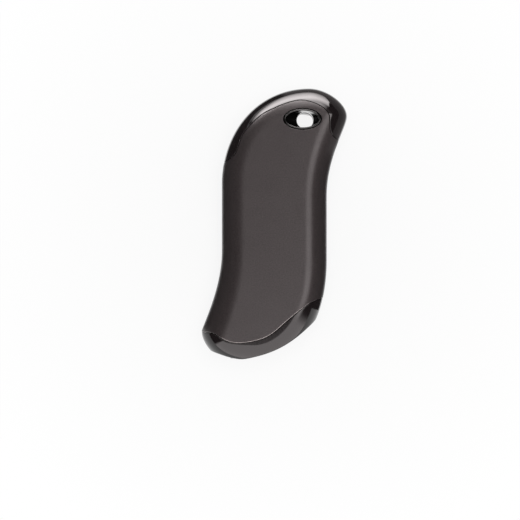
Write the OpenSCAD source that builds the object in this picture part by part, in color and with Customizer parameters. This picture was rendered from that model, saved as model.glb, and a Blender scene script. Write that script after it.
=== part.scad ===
// Rechargeable hand warmer and power bank with an S-shaped palm-sized body.
// It lies on its back: +Z comes out of the front face, +Y runs along the body to the
// end with the lanyard hole, and +X is to the right seen from the front.
// The origin is under the middle of the body, on the surface that it lies on.
// All lengths are in millimetres.

/* [Body] */
// Length of the body beyond the cells: lanyard frame, board, sockets and end caps
end_room = 65; // [62:0.5:72]
// Overall width, measured over both lobes
body_width = 70; // [67:1:75]
// Width of the straight waist
waist_width = 50.5; // [48:0.5:54]
// Thickness from the back face to the front face
thickness = 28; // [27:0.5:32]
// How far the edge rounding reaches in from the outline
edge_round = 11; // [9.5:0.5:12]
// Wall of the metal sleeve
sleeve_wall = 1; // [0.8:0.1:1.2]
// Wall of the two plastic end caps
cap_wall = 1.8; // [1.5:0.1:2.2]
// Open groove between the sleeve and each cap
seam_gap = 0.2; // [0.1:0.05:0.4]

/* [Lobes] */
// Distance from the middle of the body to the top of the crown, along X
crown_x = 16.7; // [14:0.1:19]
// Drop from the crown to the widest point of the upper lobe
lobe_drop = 13.5; // [11:0.5:16]
// Drop from the lower end to the widest point of the lower lobe
low_lobe_drop = 13; // [11:0.5:15]

/* [Lower end face] */
// Tilt of the flat part of the end face
end_tilt = 32; // [29:0.5:34]
// Distance of the lowest point of the end face from the middle, along X
end_low_x = 16.8; // [16:0.1:18]
// Wall behind the end face
end_wall = 2.2; // [1.8:0.1:2.6]

/* [Cap spigots] */
// Gap between a spigot and the inside of the sleeve
spigot_gap = 0.2; // [0.1:0.05:0.3]
// Wall of a spigot
spigot_wall = 1.2; // [1:0.1:1.4]
// Length of a spigot inside the sleeve
spigot_length = 2.2; // [1.5:0.1:2.5]

/* [Lanyard eyelet] */
// Diameter of the hole for the lanyard
lanyard_bore = 8; // [6:0.1:8.2]
// Shift of the lanyard hole along the eyelet, off its middle
bore_shift = 1.4; // [0:0.1:2]
// Length of the oval bezel
eyelet_length = 18.1; // [17:0.1:20]
// Width of the oval bezel
eyelet_width = 10.1; // [9.8:0.1:11]
// Rim left round the dished mouth of the bezel
eyelet_rim = 0.8; // [0.6:0.1:1]
// Depth of the dished mouth
dish_depth = 9; // [7:0.5:10]
// Gap round the bezels
eyelet_gap = 0.15; // [0.1:0.05:0.25]

/* [Cells] */
// Diameter of one cell
cell_diameter = 18.4; // [18:0.1:18.6]
// Length of one cell
cell_length = 65; // [63:0.5:66]
// Distance between the axes of the two cells
cell_pitch = 19.2; // [19:0.1:20]
// Gap round each cell in the chassis
cell_gap = 0.25; // [0.15:0.05:0.35]
// End wall of the chassis behind each cell
chassis_wall = 1.5; // [1.2:0.1:1.6]

/* [Heat stack] */
// Thickness of the aluminium spreader plates
spreader_thick = 0.8; // [0.5:0.1:1]
// Thickness of the heater films
film_thick = 0.2; // [0.15:0.05:0.3]
// Thickness of the insulating pads
pad_thick = 1; // [0.6:0.1:1.2]

/* [Power button] */
// Diameter of the button
button_diameter = 8.8; // [8:0.1:9.4]
// Running gap round the button
button_gap = 0.1; // [0.05:0.05:0.1]
// Travel of the button
button_travel = 0.4; // [0.3:0.05:0.45]

/* [Port bay] */
// Plate left beyond the sockets at each end of the port plate
bay_margin = 1.85; // [1.6:0.05:2.4]
// Distance between the two sockets
socket_space = 2.8; // [2.6:0.1:3.2]
// Width of the port plate
bay_width = 12.2; // [11.8:0.1:12.6]
// Depth of the port plate below the end face
bay_depth = 1.8; // [1.6:0.1:2.2]
// Thickness of the port plate
plate_thick = 1.4; // [1.2:0.1:1.6]
// Diameter of one light window
window_diameter = 1.4; // [1:0.1:1.6]
// Distance between the light windows
window_pitch = 2.2; // [2:0.1:2.4]

/* [Control board] */
// Thickness of the circuit board
board_thick = 1.2; // [1:0.1:1.6]
// Width of the output socket
usb_a_width = 13.1; // [12.9:0.1:13.3]
// Height of the output socket
usb_a_height = 5.7; // [5.5:0.1:5.9]
// Length of the output socket
usb_a_length = 14; // [12:0.5:15]
// Width of the input socket
usb_c_width = 8.9; // [8.7:0.1:9.1]
// Height of the input socket
usb_c_height = 3.2; // [3.1:0.1:3.4]
// Length of the input socket
usb_c_length = 7.3; // [6.5:0.1:8]

/* [Hidden] */

$fn = 48;
far = 90;
half_t = thickness / 2;
half_waist = waist_width / 2;
body_length = cell_length + end_room;
half_length = body_length / 2;
bay_length = usb_a_width + socket_space + usb_c_width + 2 * bay_margin;

// Number of steps on the straight side, the crown, the lobe and the flank
side_steps = 3;
crown_steps = 10;
lobe_steps = 9;
flank_steps = 8;
half_count = side_steps + crown_steps + lobe_steps + flank_steps;
loop_count = 2 * half_count;
apex_index = side_steps + crown_steps;
outer_bands = 6;
inner_bands = 4;

// Where the straight sides end, above and below the middle: the ends keep their form
crown_foot = half_length - 46;
low_foot = half_length - 47.5;
flank_foot = half_length - 52;
// The body runs on this far past the end face before it is cut
end_overrun = 4;
low_crown_x = 10;
// How strongly each stretch pulls along its end tangents: crown, lobe, flank
outer_pull = [[0.54, 0.60], [0.46, 0.48], [0.14, 0.50]];
low_outer_pull = [[0.70, 0.47], [0.73, 0.32], [0.05, 0.475]];
flat_pull = [[0.58, 0.57], [0.72, 0.25], [0.02, 0.58]];
low_flat_pull = [[0.80, 0.34], [0.90, 0.20], [0.03, 0.50]];
// Small drop from the crown to the lobe of the flat front face
flat_lobe_drop = 1.9;

// Frame of the flat part of the end face, where the sockets come out
deck_origin = [21.8 - end_low_x, 7.8 - half_length];

// Eyelet
eyelet_centre = [crown_x - 3.4, half_length - 15.55];
bore_centre = eyelet_centre + [bore_shift, 0];
boss_wall = 0.85;

// Heat stack and chassis, measured from the middle plane
inner_t = half_t - sleeve_wall;
film_z = inner_t - spreader_thick - film_thick;
chassis_t = film_z - pad_thick;
cell_bore = cell_diameter / 2 + cell_gap;
saddle_wall = 1.2;
chassis_half_w = cell_pitch / 2 + cell_bore + saddle_wall;
chassis_x = 0.9;
chassis_y = 1.5;
end_play = 0.5;
chassis_top = chassis_y + cell_length / 2 + end_play + chassis_wall;
chassis_low = chassis_y - cell_length / 2 - end_play - chassis_wall;
strip_thick = 0.2;
cap_nub = 0.8;
foot_thick = 1.6;
foot_margin = 2.4;
frame_screw_z = 6.4;
screw_head = 1.9;
screw_thread = 0.75;
screw_pilot = 0.8;
screw_way = 1.15;

// Board
board_top = -usb_a_height / 2;
board_low = board_top - board_thick;
ledge_thick = 1.8;
board_edge = bay_depth + plate_thick + ledge_thick + 0.5;
floor_low = -chassis_t + 1;
floor_thick = 1.5;
board_end = chassis_low - foot_thick - 0.4;
post_spots = [[2.65 - half_waist, board_end - 3.5], [12.2, board_end - 3.2],
    [-end_low_x - 3.7, 15.5 - half_length]];
usb_a_x = bay_margin + (usb_a_width - bay_length) / 2;
usb_c_x = (bay_length - usb_c_width) / 2 - bay_margin;
socket_wall = 0.3;
socket_gap = 0.2;
window_z = 3.9;
window_x = usb_c_x;

// Button and switch, measured along Y from the lowest point of the end face
button_x = -end_low_x;
button_face = -half_length + 0.1;
button_seat = -half_length + end_wall + 1.2;
flange_thick = 0.8;
plunger_tip = button_seat + flange_thick + 0.6;
switch_front = plunger_tip + 1.2;
switch_depth = 3.4;
switch_side = 6;
cover_thick = 0.3;
dome_height = button_travel + 0.2;
dome_seat = switch_front + 1.7;

function bezier(a, b, c, d, steps) =
    [for (i = [0:steps - 1])
        let (t = i / steps, s = 1 - t)
        s * s * s * a + 3 * s * s * t * b + 3 * s * t * t * c + t * t * t * d];

// Smooth path through points; the first and last points only set the direction
function smooth(p, steps) = concat(
    [for (i = [1:len(p) - 3], j = [0:steps - 1])
        let (t = j / steps)
        0.5 * (2 * p[i] + (p[i + 1] - p[i - 1]) * t
            + (2 * p[i - 1] - 5 * p[i] + 4 * p[i + 1] - p[i + 2]) * t * t
            + (3 * p[i] - p[i - 1] - 3 * p[i + 1] + p[i + 2]) * t * t * t)],
    [p[len(p) - 2]]);

// Upper half of a loop: up the left side, over the crown and the lobe, down the flank
function half_loop(w, foot, apex, lobe, pull) = concat(
    [for (i = [0:side_steps - 1])
        [-w, -flank_foot + (foot + flank_foot) * i / side_steps]],
    bezier([-w, foot], [-w, foot + pull[0][0] * (apex.y - foot)],
        [apex.x - pull[0][1] * (apex.x + w), apex.y], apex, crown_steps),
    bezier(apex, [apex.x + pull[1][0] * (lobe.x - apex.x), apex.y],
        [lobe.x, lobe.y + pull[1][1] * (apex.y - lobe.y)], lobe, lobe_steps),
    bezier(lobe, [lobe.x, lobe.y - pull[2][0] * (lobe.y - flank_foot)],
        [w, flank_foot + pull[2][1] * (lobe.y - flank_foot)], [w, flank_foot], flank_steps));

function turned(p) = [for (q = p) -q];

// Silhouette of the body seen from the front, moved in by inset
function outline(inset) = let (w = half_waist - inset, reach = body_width / 2 - inset)
    concat(
        half_loop(w, crown_foot, [crown_x, half_length - inset],
            [reach, half_length - lobe_drop], outer_pull),
        turned(half_loop(w, low_foot, [low_crown_x, half_length + end_overrun - inset],
            [reach, half_length - low_lobe_drop], low_outer_pull)));

// Edge of the flat front and back faces
function flat_edge() =
    let (w = half_waist - edge_round, reach = body_width / 2 - edge_round,
        top = half_length - edge_round)
    concat(
        half_loop(w, crown_foot, [crown_x - 0.4, top], [reach, top - flat_lobe_drop],
            flat_pull),
        turned(half_loop(w, low_foot, [low_crown_x - 0.3, top + end_overrun],
            [reach, top + end_overrun - flat_lobe_drop], low_flat_pull)));

function wrap(i) = (i + loop_count) % loop_count;

// Triangles that span one flat face, as ribs from the left side to the right side
function flat_faces(base) = let (a = apex_index) concat(
    [[base + a - 1, base + a, base + a + 1]],
    [for (k = [1:half_count - 2])
        [base + wrap(a - k - 1), base + wrap(a - k), base + wrap(a + k)]],
    [for (k = [1:half_count - 2])
        [base + wrap(a - k - 1), base + wrap(a + k), base + wrap(a + k + 1)]],
    [[base + wrap(a + half_count - 1), base + wrap(a + half_count),
        base + wrap(a + half_count + 1)]]);

function reversed(faces) = [for (f = faces) [f[2], f[1], f[0]]];

// Body with flat faces and an elliptical edge, moved in by inset on every side
module pillow(inset, bands) {
    edge = outline(inset);
    flat = flat_edge();
    points = [for (k = [-bands:bands])
        let (a = 90 * k / bands, h = (half_t - inset) * sin(a))
        for (i = [0:loop_count - 1])
            let (q = flat[i] + (edge[i] - flat[i]) * cos(a)) [q.x, q.y, h]];
    sides = [for (k = [0:2 * bands - 1], i = [0:loop_count - 1], s = [0, 1])
        let (a = k * loop_count + i, b = k * loop_count + (i + 1) % loop_count)
        s == 0 ? [a, b, b + loop_count] : [a, b + loop_count, a + loop_count]];
    polyhedron(points, concat(sides, flat_faces(2 * bands * loop_count),
        reversed(flat_faces(0))));
}

// Straight column through the whole thickness
module column() {
    linear_extrude(thickness + 4, center = true) children();
}

// Seam of the top cap, from the left side over the crown to the right flank
top_seam = smooth([
    [-half_waist - 35, crown_foot + 6.5],
    [-half_waist - 20, crown_foot + 7],
    [-half_waist - 6, crown_foot + 8.6],
    [-half_waist, crown_foot + 10.1],
    [-half_waist + 4.1, crown_foot + 11.9],
    [-half_waist + 6.7, crown_foot + 14.6],
    [-half_waist + 8.4, crown_foot + 19.4],
    [-half_waist + 10.9, crown_foot + 24.6],
    [crown_x - 23.6, half_length - 13.8],
    [crown_x - 15.7, half_length - 9.7],
    [crown_x - 8.9, half_length - 7.2],
    [crown_x - 3.7, half_length - 6.4],
    [crown_x + 2, half_length - 7.7],
    [body_width / 2 - 11.7, half_length - 10.2],
    [body_width / 2 - 9.1, half_length - 13.2],
    [body_width / 2 - 8.6, half_length - 16.8],
    [body_width / 2 - 8.3, half_length - 20.6],
    [body_width / 2 - 7.1, half_length - 23.2],
    [body_width / 2 - 4.1, half_length - 25.2],
    [body_width / 2 - 0.5, half_length - 26.8],
    [body_width / 2 + 10, half_length - 31],
    [body_width / 2 + 25, half_length - 37]], 5);

// Seam of the bottom cap, from the left side along the end face to the right side
low_seam = smooth([
    [-body_width / 2 - 25, -half_length + 12.6],
    [-body_width / 2 - 10, -half_length + 12.5],
    [-body_width / 2 - 1, -half_length + 12.6],
    [-body_width / 2 + 3.3, -half_length + 12.7],
    [-body_width / 2 + 6, -half_length + 12.2],
    [-body_width / 2 + 8.1, -half_length + 11.1],
    [-end_low_x - 6.2, -half_length + 9],
    [-end_low_x - 2, -half_length + 7.9],
    [-end_low_x + 2.9, -half_length + 8],
    [-end_low_x + 7.8, -half_length + 8.9],
    deck_origin + [-9, 2.8],
    deck_origin + [-4.4, 5.8],
    deck_origin + [0.9, 10.5],
    deck_origin + [6.5, 15.1],
    deck_origin + [11.7, 18.8],
    deck_origin + [16.3, 20.7],
    deck_origin + [21, 21.4],
    deck_origin + [31, 21.6],
    deck_origin + [45, 21.8]], 5);

// Area of the top cap seen from the front
module top_area() {
    polygon(concat(top_seam, [[far, far], [-far, far]]));
}

// Area of the bottom cap seen from the front
module low_area() {
    polygon(concat(low_seam, [[far, -far], [-far, -far]]));
}

// Point in the frame of the port bay, a along the flat and d into the body
function by_deck(a, d) = deck_origin
    + [a * cos(end_tilt) - d * sin(end_tilt), a * sin(end_tilt) + d * cos(end_tilt)];

// Line of the end face, from the left side past the button and the bay to the right
end_line = smooth([
    [-end_low_x - 29, 7.5 - half_length],
    [-end_low_x - 18, 4.7 - half_length],
    [-end_low_x - 10.4, 2.6 - half_length],
    [-end_low_x - 4.8, 0.9 - half_length],
    [-end_low_x + 0.8, -half_length],
    [-end_low_x + 6.4, 0.9 - half_length],
    by_deck(-9.25, 0.2),
    by_deck(-1.7, -0.85),
    by_deck(6.2, -0.7),
    by_deck(14.2, 0.4),
    by_deck(23.7, 2),
    by_deck(50, 6)], 5);

// Everything above the end face, moved in by inset
module end_area(inset) {
    offset(delta = -inset) polygon(concat([[-far, end_line[0].y]], end_line,
        [[far, far], [-far, far]]));
}

// Frame of the port bay: X along the flat, Y into the body, Z to the front
module on_deck() {
    translate([deck_origin.x, deck_origin.y, 0]) rotate([0, 0, end_tilt]) children();
}

// Plate with round ends in the frame of the port bay, from depth y0 to y1
module deck_slot(length, width, y0, y1) {
    translate([0, y1, 0]) rotate([90, 0, 0]) linear_extrude(y1 - y0) union() {
        square([length - width, width], center = true);
        for (s = [-1, 1]) translate([s * (length - width) / 2, 0]) circle(d = width);
    }
}

// Box in the frame of the port bay, from corner a to corner b
module between(a, b) {
    translate(a) cube(b - a);
}

// Ring inside the sleeve that guides a cap, over the given area
module spigot() {
    outer = sleeve_wall + spigot_gap;
    intersection() {
        difference() {
            pillow(outer, inner_bands);
            pillow(outer + spigot_wall, inner_bands);
        }
        column() difference() {
            offset(delta = spigot_length) children();
            offset(delta = -1.5) children();
        }
    }
}

// Oval outline of the eyelet, grown on every side
module oval(grow) {
    a = eyelet_length / 2 + grow;
    b = eyelet_width / 2 + grow;
    translate(eyelet_centre) polygon([for (i = [0:47]) [a * cos(i * 7.5), b * sin(i * 7.5)]]);
}

// Cylinder along Y at x, z
module rod(x, z, r, y0, y1) {
    translate([x, y1, z]) rotate([90, 0, 0]) cylinder(r = r, h = y1 - y0);
}

module at_middle() {
    translate([0, 0, half_t]) children();
}

module sleeve() {
    color([0.10, 0.10, 0.105]) at_middle() difference() {
        pillow(0, outer_bands);
        pillow(sleeve_wall, inner_bands);
        column() offset(delta = seam_gap) top_area();
        column() offset(delta = seam_gap) low_area();
        column() oval(eyelet_gap);
    }
}

module top_cap() {
    color([0.05, 0.05, 0.055]) at_middle() union() {
        difference() {
            intersection() {
                pillow(0, outer_bands);
                column() top_area();
            }
            pillow(cap_wall, inner_bands);
        }
        spigot() top_area();
    }
}

module bottom_cap() {
    color([0.05, 0.05, 0.055]) at_middle() difference() {
        union() {
            difference() {
                intersection() {
                    pillow(0, outer_bands);
                    column() intersection() {
                        low_area();
                        end_area(0);
                    }
                }
                intersection() {
                    pillow(cap_wall, inner_bands);
                    column() end_area(end_wall);
                }
            }
            spigot() low_area();
            bay_block();
            intersection() {
                rod(button_x, 0, button_diameter / 2 + 2.2, -half_length, button_seat);
                column() end_area(end_wall / 2);
            }
        }
        on_deck() bay_cuts();
        rod(button_x, 0, button_diameter / 2 + button_gap, -half_length - 2, button_seat + 1);
    }
}

// Thick part of the end wall that carries the port plate
module bay_block() {
    back = bay_depth + plate_thick + ledge_thick;
    intersection() {
        pillow(cap_wall / 2, inner_bands);
        column() end_area(end_wall / 2);
        on_deck() deck_slot(bay_length + 3, bay_width + 3, 0, back);
    }
}

// Pocket for the port plate and the ways for the sockets and the light pipe
module bay_cuts() {
    back = bay_depth + plate_thick + ledge_thick + 1;
    seat = bay_depth + plate_thick;
    a = usb_a_width / 2 + socket_gap + 0.1;
    c = usb_c_width / 2 + socket_gap + 0.1;
    low = board_top - socket_gap - 0.1;
    deck_slot(bay_length + 0.3, bay_width + 0.3, -4, seat);
    between([usb_a_x - a, seat - 1, low], [usb_a_x + a, back, -low]);
    between([usb_c_x - c, seat - 1, low],
        [usb_c_x + c, back, board_top + usb_c_height + socket_gap + 0.1]);
    between([window_x - 2 * window_pitch + 0.2, seat - 1, 0],
        [window_x + 2 * window_pitch - 0.2, back, window_z + window_diameter / 2 + 0.4]);
}

// One half of the eyelet: an oval plug with a dished mouth and a round bore
module eyelet_half() {
    difference() {
        linear_extrude(half_t) oval(0);
        hull() {
            translate([0, 0, half_t]) linear_extrude(1) oval(-eyelet_rim);
            translate([bore_centre.x, bore_centre.y, half_t - dish_depth])
                cylinder(d = lanyard_bore + 0.1, h = 0.1, $fn = 32);
        }
        translate([bore_centre.x, bore_centre.y, -1])
            cylinder(d = lanyard_bore, h = half_t + 2);
    }
}

module eyelet_front() {
    color([0.03, 0.03, 0.03]) at_middle() eyelet_half();
}

module eyelet_back() {
    color([0.03, 0.03, 0.03]) at_middle() mirror([0, 0, 1]) eyelet_half();
}

// Tube round both eyelets with webs down to a foot that is screwed to the chassis
module lanyard_frame() {
    boss_t = inner_t - 0.9;
    foot_x0 = chassis_x - 5;
    foot_x1 = eyelet_centre.x + 4;
    web_top = eyelet_centre.y - eyelet_width / 2 + 1;
    color([0.16, 0.16, 0.17]) at_middle() difference() {
        union() {
            linear_extrude(2 * boss_t, center = true) oval(eyelet_gap + boss_wall);
            between([foot_x0, chassis_top, -frame_screw_z - foot_margin],
                [foot_x1, chassis_top + foot_thick, frame_screw_z + foot_margin]);
            for (z = [-frame_screw_z, 0, frame_screw_z])
                between([eyelet_centre.x - 8, chassis_top + foot_thick / 2, z - 0.8],
                    [foot_x1, web_top, z + 0.8]);
        }
        column() oval(eyelet_gap);
        for (s = [-1, 1])
            rod(chassis_x, s * frame_screw_z, screw_way, chassis_top - 1,
                chassis_top + foot_thick + 1);
    }
}

module port_plate() {
    color([0.09, 0.09, 0.10]) at_middle() on_deck() difference() {
        deck_slot(bay_length, bay_width, bay_depth, bay_depth + plate_thick);
        between([usb_a_x - usb_a_width / 2 - socket_gap, 0, board_top - socket_gap],
            [usb_a_x + usb_a_width / 2 + socket_gap, 9, -board_top + socket_gap]);
        translate([usb_c_x, 0, board_top + usb_c_height / 2])
            deck_slot(usb_c_width + 2 * socket_gap, usb_c_height + 2 * socket_gap, 0, 9);
        for (x = window_spots()) rod(x, window_z, window_diameter / 2, 0, 9);
    }
}

function window_spots() = [for (i = [0:3]) window_x + (i - 1.5) * window_pitch];

// Round button with a shallow dish, held behind the wall by its flange
module power_button() {
    color([0.12, 0.12, 0.125]) at_middle() difference() {
        union() {
            rod(button_x, 0, button_diameter / 2, button_face, button_seat + flange_thick);
            rod(button_x, 0, button_diameter / 2 + 1, button_seat, button_seat + flange_thick);
            rod(button_x, 0, 1.5, button_seat, plunger_tip);
        }
        translate([button_x, button_face - 19.6, 0]) sphere(r = 20, $fn = 96);
    }
}

module switch_plunger() {
    color([0.75, 0.72, 0.62]) at_middle() {
        rod(button_x, 0, 1.5, plunger_tip, dome_seat - dome_height);
        rod(button_x, 0, 2.1, switch_front + cover_thick + 0.05, dome_seat - dome_height);
    }
}

// Thin snap dome under the plunger
module switch_dome() {
    r = 2.2;
    arc_r = (r * r + dome_height * dome_height) / (2 * dome_height);
    color([0.80, 0.80, 0.78]) at_middle() translate([button_x, dome_seat, 0])
        rotate([90, 0, 0]) rotate_extrude() intersection() {
            translate([0, dome_height - arc_r]) difference() {
                circle(r = arc_r, $fn = 96);
                circle(r = arc_r - 0.1, $fn = 96);
            }
            square([r, dome_height + 1]);
        }
}

module switch_cover() {
    color([0.78, 0.78, 0.76]) at_middle() difference() {
        between([button_x - switch_side / 2, switch_front, board_top],
            [button_x + switch_side / 2, switch_front + cover_thick,
                board_top + switch_side]);
        rod(button_x, 0, 1.6, switch_front - 1, switch_front + 1);
    }
}

module switch_base() {
    color([0.08, 0.08, 0.08]) at_middle() difference() {
        between([button_x - switch_side / 2, switch_front + cover_thick, board_top],
            [button_x + switch_side / 2, switch_front + switch_depth,
                board_top + switch_side]);
        rod(button_x, 0, 2.3, switch_front - 1, dome_seat);
    }
}

// Clear comb that carries light over the input socket to the four windows
module light_pipe() {
    seat = bay_depth + plate_thick;
    leg_y = bay_depth + usb_c_length + 1;
    x0 = window_spots()[0] - 0.6;
    x1 = window_spots()[3] + 0.6;
    color([0.85, 0.90, 0.92, 0.8]) at_middle() on_deck() {
        for (x = window_spots()) rod(x, window_z, window_diameter / 2 - 0.05,
            bay_depth, seat + 1);
        between([x0, seat, window_z - 0.9], [x1, leg_y + 2, window_z + 0.9]);
        between([x0, leg_y, board_top + led_height], [x1, leg_y + 2, window_z]);
    }
}

led_height = 0.7;

module indicator_leds() {
    leg_y = bay_depth + usb_c_length + 1;
    color([0.92, 0.90, 0.75]) at_middle() on_deck() for (x = window_spots())
        between([x - 0.5, leg_y + 0.2, board_top], [x + 0.5, leg_y + 1.8, board_top + led_height]);
}

// Plan of the circuit board: left edge, switch edge, socket edge and top edge
module board_plan() {
    u = [cos(end_tilt), sin(end_tilt)];
    v = [-sin(end_tilt), cos(end_tilt)];
    y_switch = switch_front + 0.1;
    socket_line = deck_origin + board_edge * v;
    step = (socket_line.y - y_switch) / u.y;
    corner = socket_line - step * u;
    right = socket_line + (post_spots[1].x + 3.5 - socket_line.x) / u.x * u;
    left = -half_waist - 0.75;
    polygon([[left, board_end], [left, y_switch + 5], [left + 2.5, y_switch],
        [corner.x, y_switch], right, [right.x, board_end]]);
}

module control_board() {
    color([0.05, 0.28, 0.16]) at_middle() difference() {
        translate([0, 0, board_low]) linear_extrude(board_thick) board_plan();
        for (p = post_spots)
            translate([p.x, p.y, board_low - 1]) cylinder(r = screw_way, h = board_thick + 2);
    }
}

// Folded metal shell of the output socket, open at the mouth
module output_socket_shell() {
    w = usb_a_width / 2;
    y0 = bay_depth;
    y1 = bay_depth + usb_a_length;
    color([0.80, 0.81, 0.82]) at_middle() on_deck() difference() {
        between([usb_a_x - w, y0, board_top], [usb_a_x + w, y1, -board_top]);
        between([usb_a_x - w + socket_wall, y0 - 1, board_top + socket_wall],
            [usb_a_x + w - socket_wall, y1 - socket_wall, -board_top - socket_wall]);
    }
}

tongue_z = 0.35;
tongue_thick = 1.8;
tongue_half = 5.5;

// Plastic tongue and the block behind it that fills the rear of the shell
module output_socket_tongue() {
    w = usb_a_width / 2 - socket_wall;
    y1 = bay_depth + usb_a_length - socket_wall;
    color([0.92, 0.92, 0.90]) at_middle() on_deck() {
        between([usb_a_x - tongue_half, bay_depth + 0.6, tongue_z],
            [usb_a_x + tongue_half, y1 - 1, tongue_z + tongue_thick]);
        between([usb_a_x - w, y1 - 4.5, board_top + socket_wall],
            [usb_a_x + w, y1, -board_top - socket_wall]);
    }
}

module output_socket_contacts() {
    y1 = bay_depth + usb_a_length - socket_wall - 4.5;
    color([0.85, 0.68, 0.28]) at_middle() on_deck() for (x = [-3.5, -1, 1, 3.5])
        between([usb_a_x + x - 0.5, bay_depth + 1.4, tongue_z - 0.25],
            [usb_a_x + x + 0.5, y1, tongue_z]);
}

module input_socket_shell() {
    color([0.80, 0.81, 0.82]) at_middle() on_deck()
        translate([usb_c_x, 0, board_top + usb_c_height / 2]) difference() {
            deck_slot(usb_c_width, usb_c_height, bay_depth, bay_depth + usb_c_length);
            deck_slot(usb_c_width - 2 * socket_wall, usb_c_height - 2 * socket_wall,
                bay_depth - 1, bay_depth + usb_c_length - socket_wall);
        }
}

module input_socket_tongue() {
    y1 = bay_depth + usb_c_length - socket_wall;
    color([0.10, 0.10, 0.10]) at_middle() on_deck()
        translate([usb_c_x, 0, board_top + usb_c_height / 2]) {
            between([-3.35, bay_depth + 0.8, -0.35], [3.35, y1 - 1, 0.35]);
            deck_slot(usb_c_width - 2 * socket_wall, usb_c_height - 2 * socket_wall,
                y1 - 1.6, y1);
        }
}

// Block on the upper side of the board, centred on a spot
module on_board(spot, size) {
    translate([spot.x - size.x / 2, spot.y - size.y / 2, board_top]) cube(size);
}

inductor = [7, 7, 4];
inductor_spot = [-12.5, board_end - 0.6 - inductor.y / 2];
controller = [4, 4, 0.9];
power_chip = [3, 3, 0.9];

module power_inductor() {
    color([0.22, 0.22, 0.23]) at_middle() difference() {
        on_board(inductor_spot, inductor);
        translate([inductor_spot.x, inductor_spot.y, board_top + inductor.z - 0.3])
            cylinder(d = inductor.x - 2, h = 1);
    }
}

module controller_chip() {
    color([0.07, 0.07, 0.07]) at_middle()
        on_board([-2, board_end - 0.5 - controller.y / 2], controller);
}

// Two switches beside the inductor and one between the sockets
module power_chips() {
    y = board_end - 0.7 - power_chip.y / 2;
    gap_x = usb_a_x + (usb_a_width + socket_space) / 2;
    color([0.10, 0.10, 0.10]) at_middle() {
        for (x = [-18, -6.6]) on_board([x, y], power_chip);
        on_deck() between([gap_x - 0.9, board_edge + 4, board_top],
            [gap_x + 0.9, board_edge + 7, board_top + power_chip.z]);
    }
}

module board_capacitors() {
    y = inductor_spot.y - inductor.y / 2 - 1.4;
    color([0.62, 0.50, 0.36]) at_middle()
        for (x = [-17.4, -15.2, -13]) on_board([x, y], [1.6, 1.6, 1.4]);
}

heater_tab_x = 5.8;
tail_width = 4;
connector_height = 1.6;
connector_y = board_end - 1.6;

// Low sockets for the heater tails, one on each side of the board
module heater_connectors() {
    a = [heater_tab_x - 2.6, connector_y - 1];
    b = [heater_tab_x + 2.6, connector_y + 1];
    color([0.90, 0.88, 0.80]) at_middle() {
        between([a.x, a.y, board_top], [b.x, b.y, board_top + connector_height]);
        between([a.x, a.y, board_low - connector_height], [b.x, b.y, board_low]);
    }
}

// Plan of the tray's floor, round the three posts
module tray_plan() {
    left = post_spots[0];
    right = post_spots[1];
    low = post_spots[2];
    polygon([[chassis_x - chassis_half_w + 2, chassis_low], [left.x - 2, left.y],
        [low.x - 3, low.y - 2], [low.x + 4, low.y - 5], [low.x + 12.5, low.y - 4],
        [right.x + 2, right.y - 2], [right.x + 2, chassis_low]]);
}

// Foot screwed to the chassis, with a floor and three posts that carry the board
module board_tray() {
    foot_y0 = chassis_low - foot_thick;
    color([0.16, 0.16, 0.17]) at_middle() difference() {
        union() {
            between([chassis_x - 12, foot_y0, floor_low],
                [chassis_x + 12, chassis_low, frame_screw_z + foot_margin]);
            translate([0, 0, floor_low]) linear_extrude(floor_thick) tray_plan();
            for (p = post_spots) translate([p.x, p.y, floor_low])
                cylinder(r = 2, h = board_low - floor_low);
        }
        for (p = post_spots) translate([p.x, p.y, floor_low + 1])
            cylinder(r = screw_pilot, h = chassis_t);
        for (s = [-1, 1]) rod(chassis_x, s * frame_screw_z, screw_way, foot_y0 - 1, chassis_low + 1);
        between([heater_tab_x - 2.8, connector_y - 1.6, -chassis_t - 1],
            [heater_tab_x + 2.8, chassis_low + 1, floor_low + 3]);
    }
}

// Pan head screw along -Z with its head seat at the origin
module screw(length) {
    cylinder(r = screw_head, h = 1.3);
    translate([0, 0, -length]) cylinder(r = screw_thread, h = length + 0.5);
}

module board_screws() {
    color([0.70, 0.70, 0.72]) at_middle() for (p = post_spots)
        translate([p.x, p.y, board_top]) difference() {
            screw(5);
            translate([0, 0, 0.6]) cylinder(r = 0.8, h = 1, $fn = 6);
        }
}

module frame_screws() {
    color([0.70, 0.70, 0.72]) at_middle() for (s = [-1, 1], e = [-1, 1])
        translate([chassis_x, e > 0 ? chassis_top + foot_thick : chassis_low - foot_thick,
            s * frame_screw_z]) rotate([-90 * e, 0, 0]) difference() {
                screw(6);
                translate([0, 0, 0.6]) cylinder(r = 0.8, h = 1, $fn = 6);
            }
}

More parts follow.
